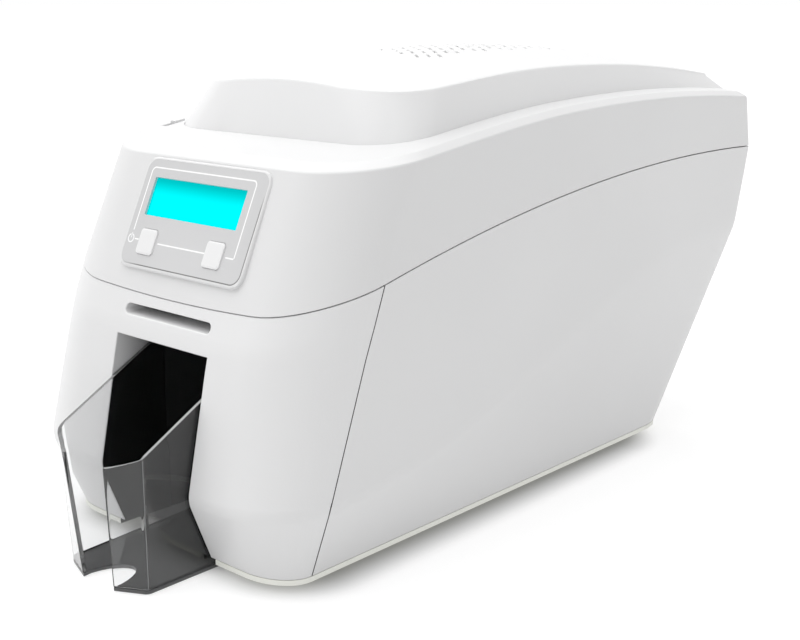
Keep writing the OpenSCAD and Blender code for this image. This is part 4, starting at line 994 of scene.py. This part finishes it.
def button_cap(name):
    low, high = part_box(name)
    across, _, _ = on_panel((low + high) / 2 / MM)
    width = (high.x - low.x) / MM - 2 * BUTTON_FLANGE + 2 * CAP_GROW
    height = CAP_TALL + 2 * CAP_GROW
    bpy.ops.object.select_all(action="DESELECT")
    bpy.ops.mesh.primitive_cube_add(size=1, scale=(width * MM, height * MM, CAP_THICK * MM))
    bpy.ops.object.transform_apply()
    cap = bpy.context.object
    cap.name = name + "_cap"
    dress(cap, finishes[slot_of[name]])
    round_edges(cap, CAP_ROUND, 5, on_cap_corner)
    round_edges(cap, CAP_PILLOW, 4, on_cap_top)
    even_shading(cap, 40)
    middle = Vector((across, 0, 0)) + panel_up * BUTTON_V + panel_out * (CAP_TOP - CAP_THICK / 2)
    tilt = Matrix.Rotation(math.pi / 2 - PANEL_TILT, 4, "X")
    cap.matrix_world = Matrix.Translation(panel_middle + middle * MM) @ tilt
    only(cap)
    bpy.ops.object.transform_apply()
    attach(cap, nodes[name]["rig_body"])
    return cap


caps = [button_cap(name) for name in ("left_button", "right_button")]
print([cap.name for cap in caps])

# %% [markdown]
# ## Studio
# A pale floor runs on to a white horizon, which metal and clear plastic mirror too. Panels of light
# could do this as in a real studio, but they would show in every glossy face. So the world gives
# even light from all round, and one broad soft sun, high and a little to the left, lights the lid.
# The floor's own glow fades out round the printer's outline, and its tone drops under the printer:
# a painted shadow, drawn on the floor rather than cast.

# %% Floor
FLOOR_TONE, FLOOR_SEEN, FLOOR_PAINTED_SHADE = 0.55, 0.42, 0.04
FLOOR_GLOW, FLOOR_LIFT, FLOOR_UNDER = 0.36, 0.66, 0.06
STAND_HALF, STAND_FRONT, STAND_BACK, STAND_ROUND = 85, -170, 138, 30
SHADOW_REACH, HIDDEN_REACH = (22, -6), (-8, -16)


def neutral(level):
    return (level, level, level)


def seen_light(tree):
    """1 for what the eye, a mirror or clear plastic looks at, and 0 for light that only bounces."""
    rays = tree.nodes.new("ShaderNodeLightPath")
    seen = Wire(tree, rays.outputs["Is Camera Ray"]).at_least(Wire(tree, rays.outputs["Is Glossy Ray"]))
    return seen.at_least(Wire(tree, rays.outputs["Is Transmission Ray"]))


floor_paint = Paint("floor_white")
seen = seen_light(floor_paint.tree)
x, y, _ = floor_paint.axes(floor_paint.here())
stand_middle = (0, (STAND_FRONT + STAND_BACK) / 2)
stand_size = (2 * STAND_HALF, STAND_BACK - STAND_FRONT)
outline = rounded_box(x, y, stand_middle, stand_size, STAND_ROUND)
# Painted shadow: the glow that the eye sees fades round the outline, and the seen tone drops under the
# printer.
shadow = outline.step(*SHADOW_REACH) * (1 - FLOOR_UNDER)
hidden = outline.step(*HIDDEN_REACH)
bounced = floor_paint.blend(hidden, neutral(FLOOR_GLOW), neutral(0))
lift = floor_paint.blend(seen, bounced, floor_paint.blend(shadow, neutral(FLOOR_LIFT), neutral(0)))
seen_tone = floor_paint.blend(hidden, neutral(FLOOR_SEEN), neutral(FLOOR_PAINTED_SHADE))
tone = floor_paint.blend(seen, neutral(FLOOR_TONE), seen_tone)
floor_paint.feed(Base_Color=tone, Roughness=0.95, Specular_IOR_Level=0.0)
floor_paint.feed(Emission_Color=lift, Emission_Strength=1.0)
bpy.ops.mesh.primitive_plane_add(size=60, location=(0, 0, 0))
floor = bpy.context.object
floor.name = "floor"
dress(floor, floor_paint)
print("floor ready")

# %% World and sun
WORLD_LIGHT, SUN_LIGHT, SUN_SPREAD = 0.62, 2.25, 75
SUN_RUNS = Vector((0.4, 0.08, -1.0))
world = bpy.data.worlds.new("studio")
bpy.context.scene.world = world
world.use_nodes = True
sky = world.node_tree.nodes["Background"]
sky.inputs["Color"].default_value = (1, 1, 1, 1)
strength = seen_light(world.node_tree) * (1 - WORLD_LIGHT) + WORLD_LIGHT
world.node_tree.links.new(strength.socket, sky.inputs["Strength"])

sun = bpy.data.lights.new("soft_sun", "SUN")
sun.energy, sun.angle = SUN_LIGHT, math.radians(SUN_SPREAD)
holder = bpy.data.objects.new("soft_sun", sun)
holder.rotation_euler = SUN_RUNS.to_track_quat("-Z", "Y").to_euler()
bpy.context.scene.collection.objects.link(holder)
bpy.context.scene.view_settings.view_transform = "Standard"
print("studio ready")
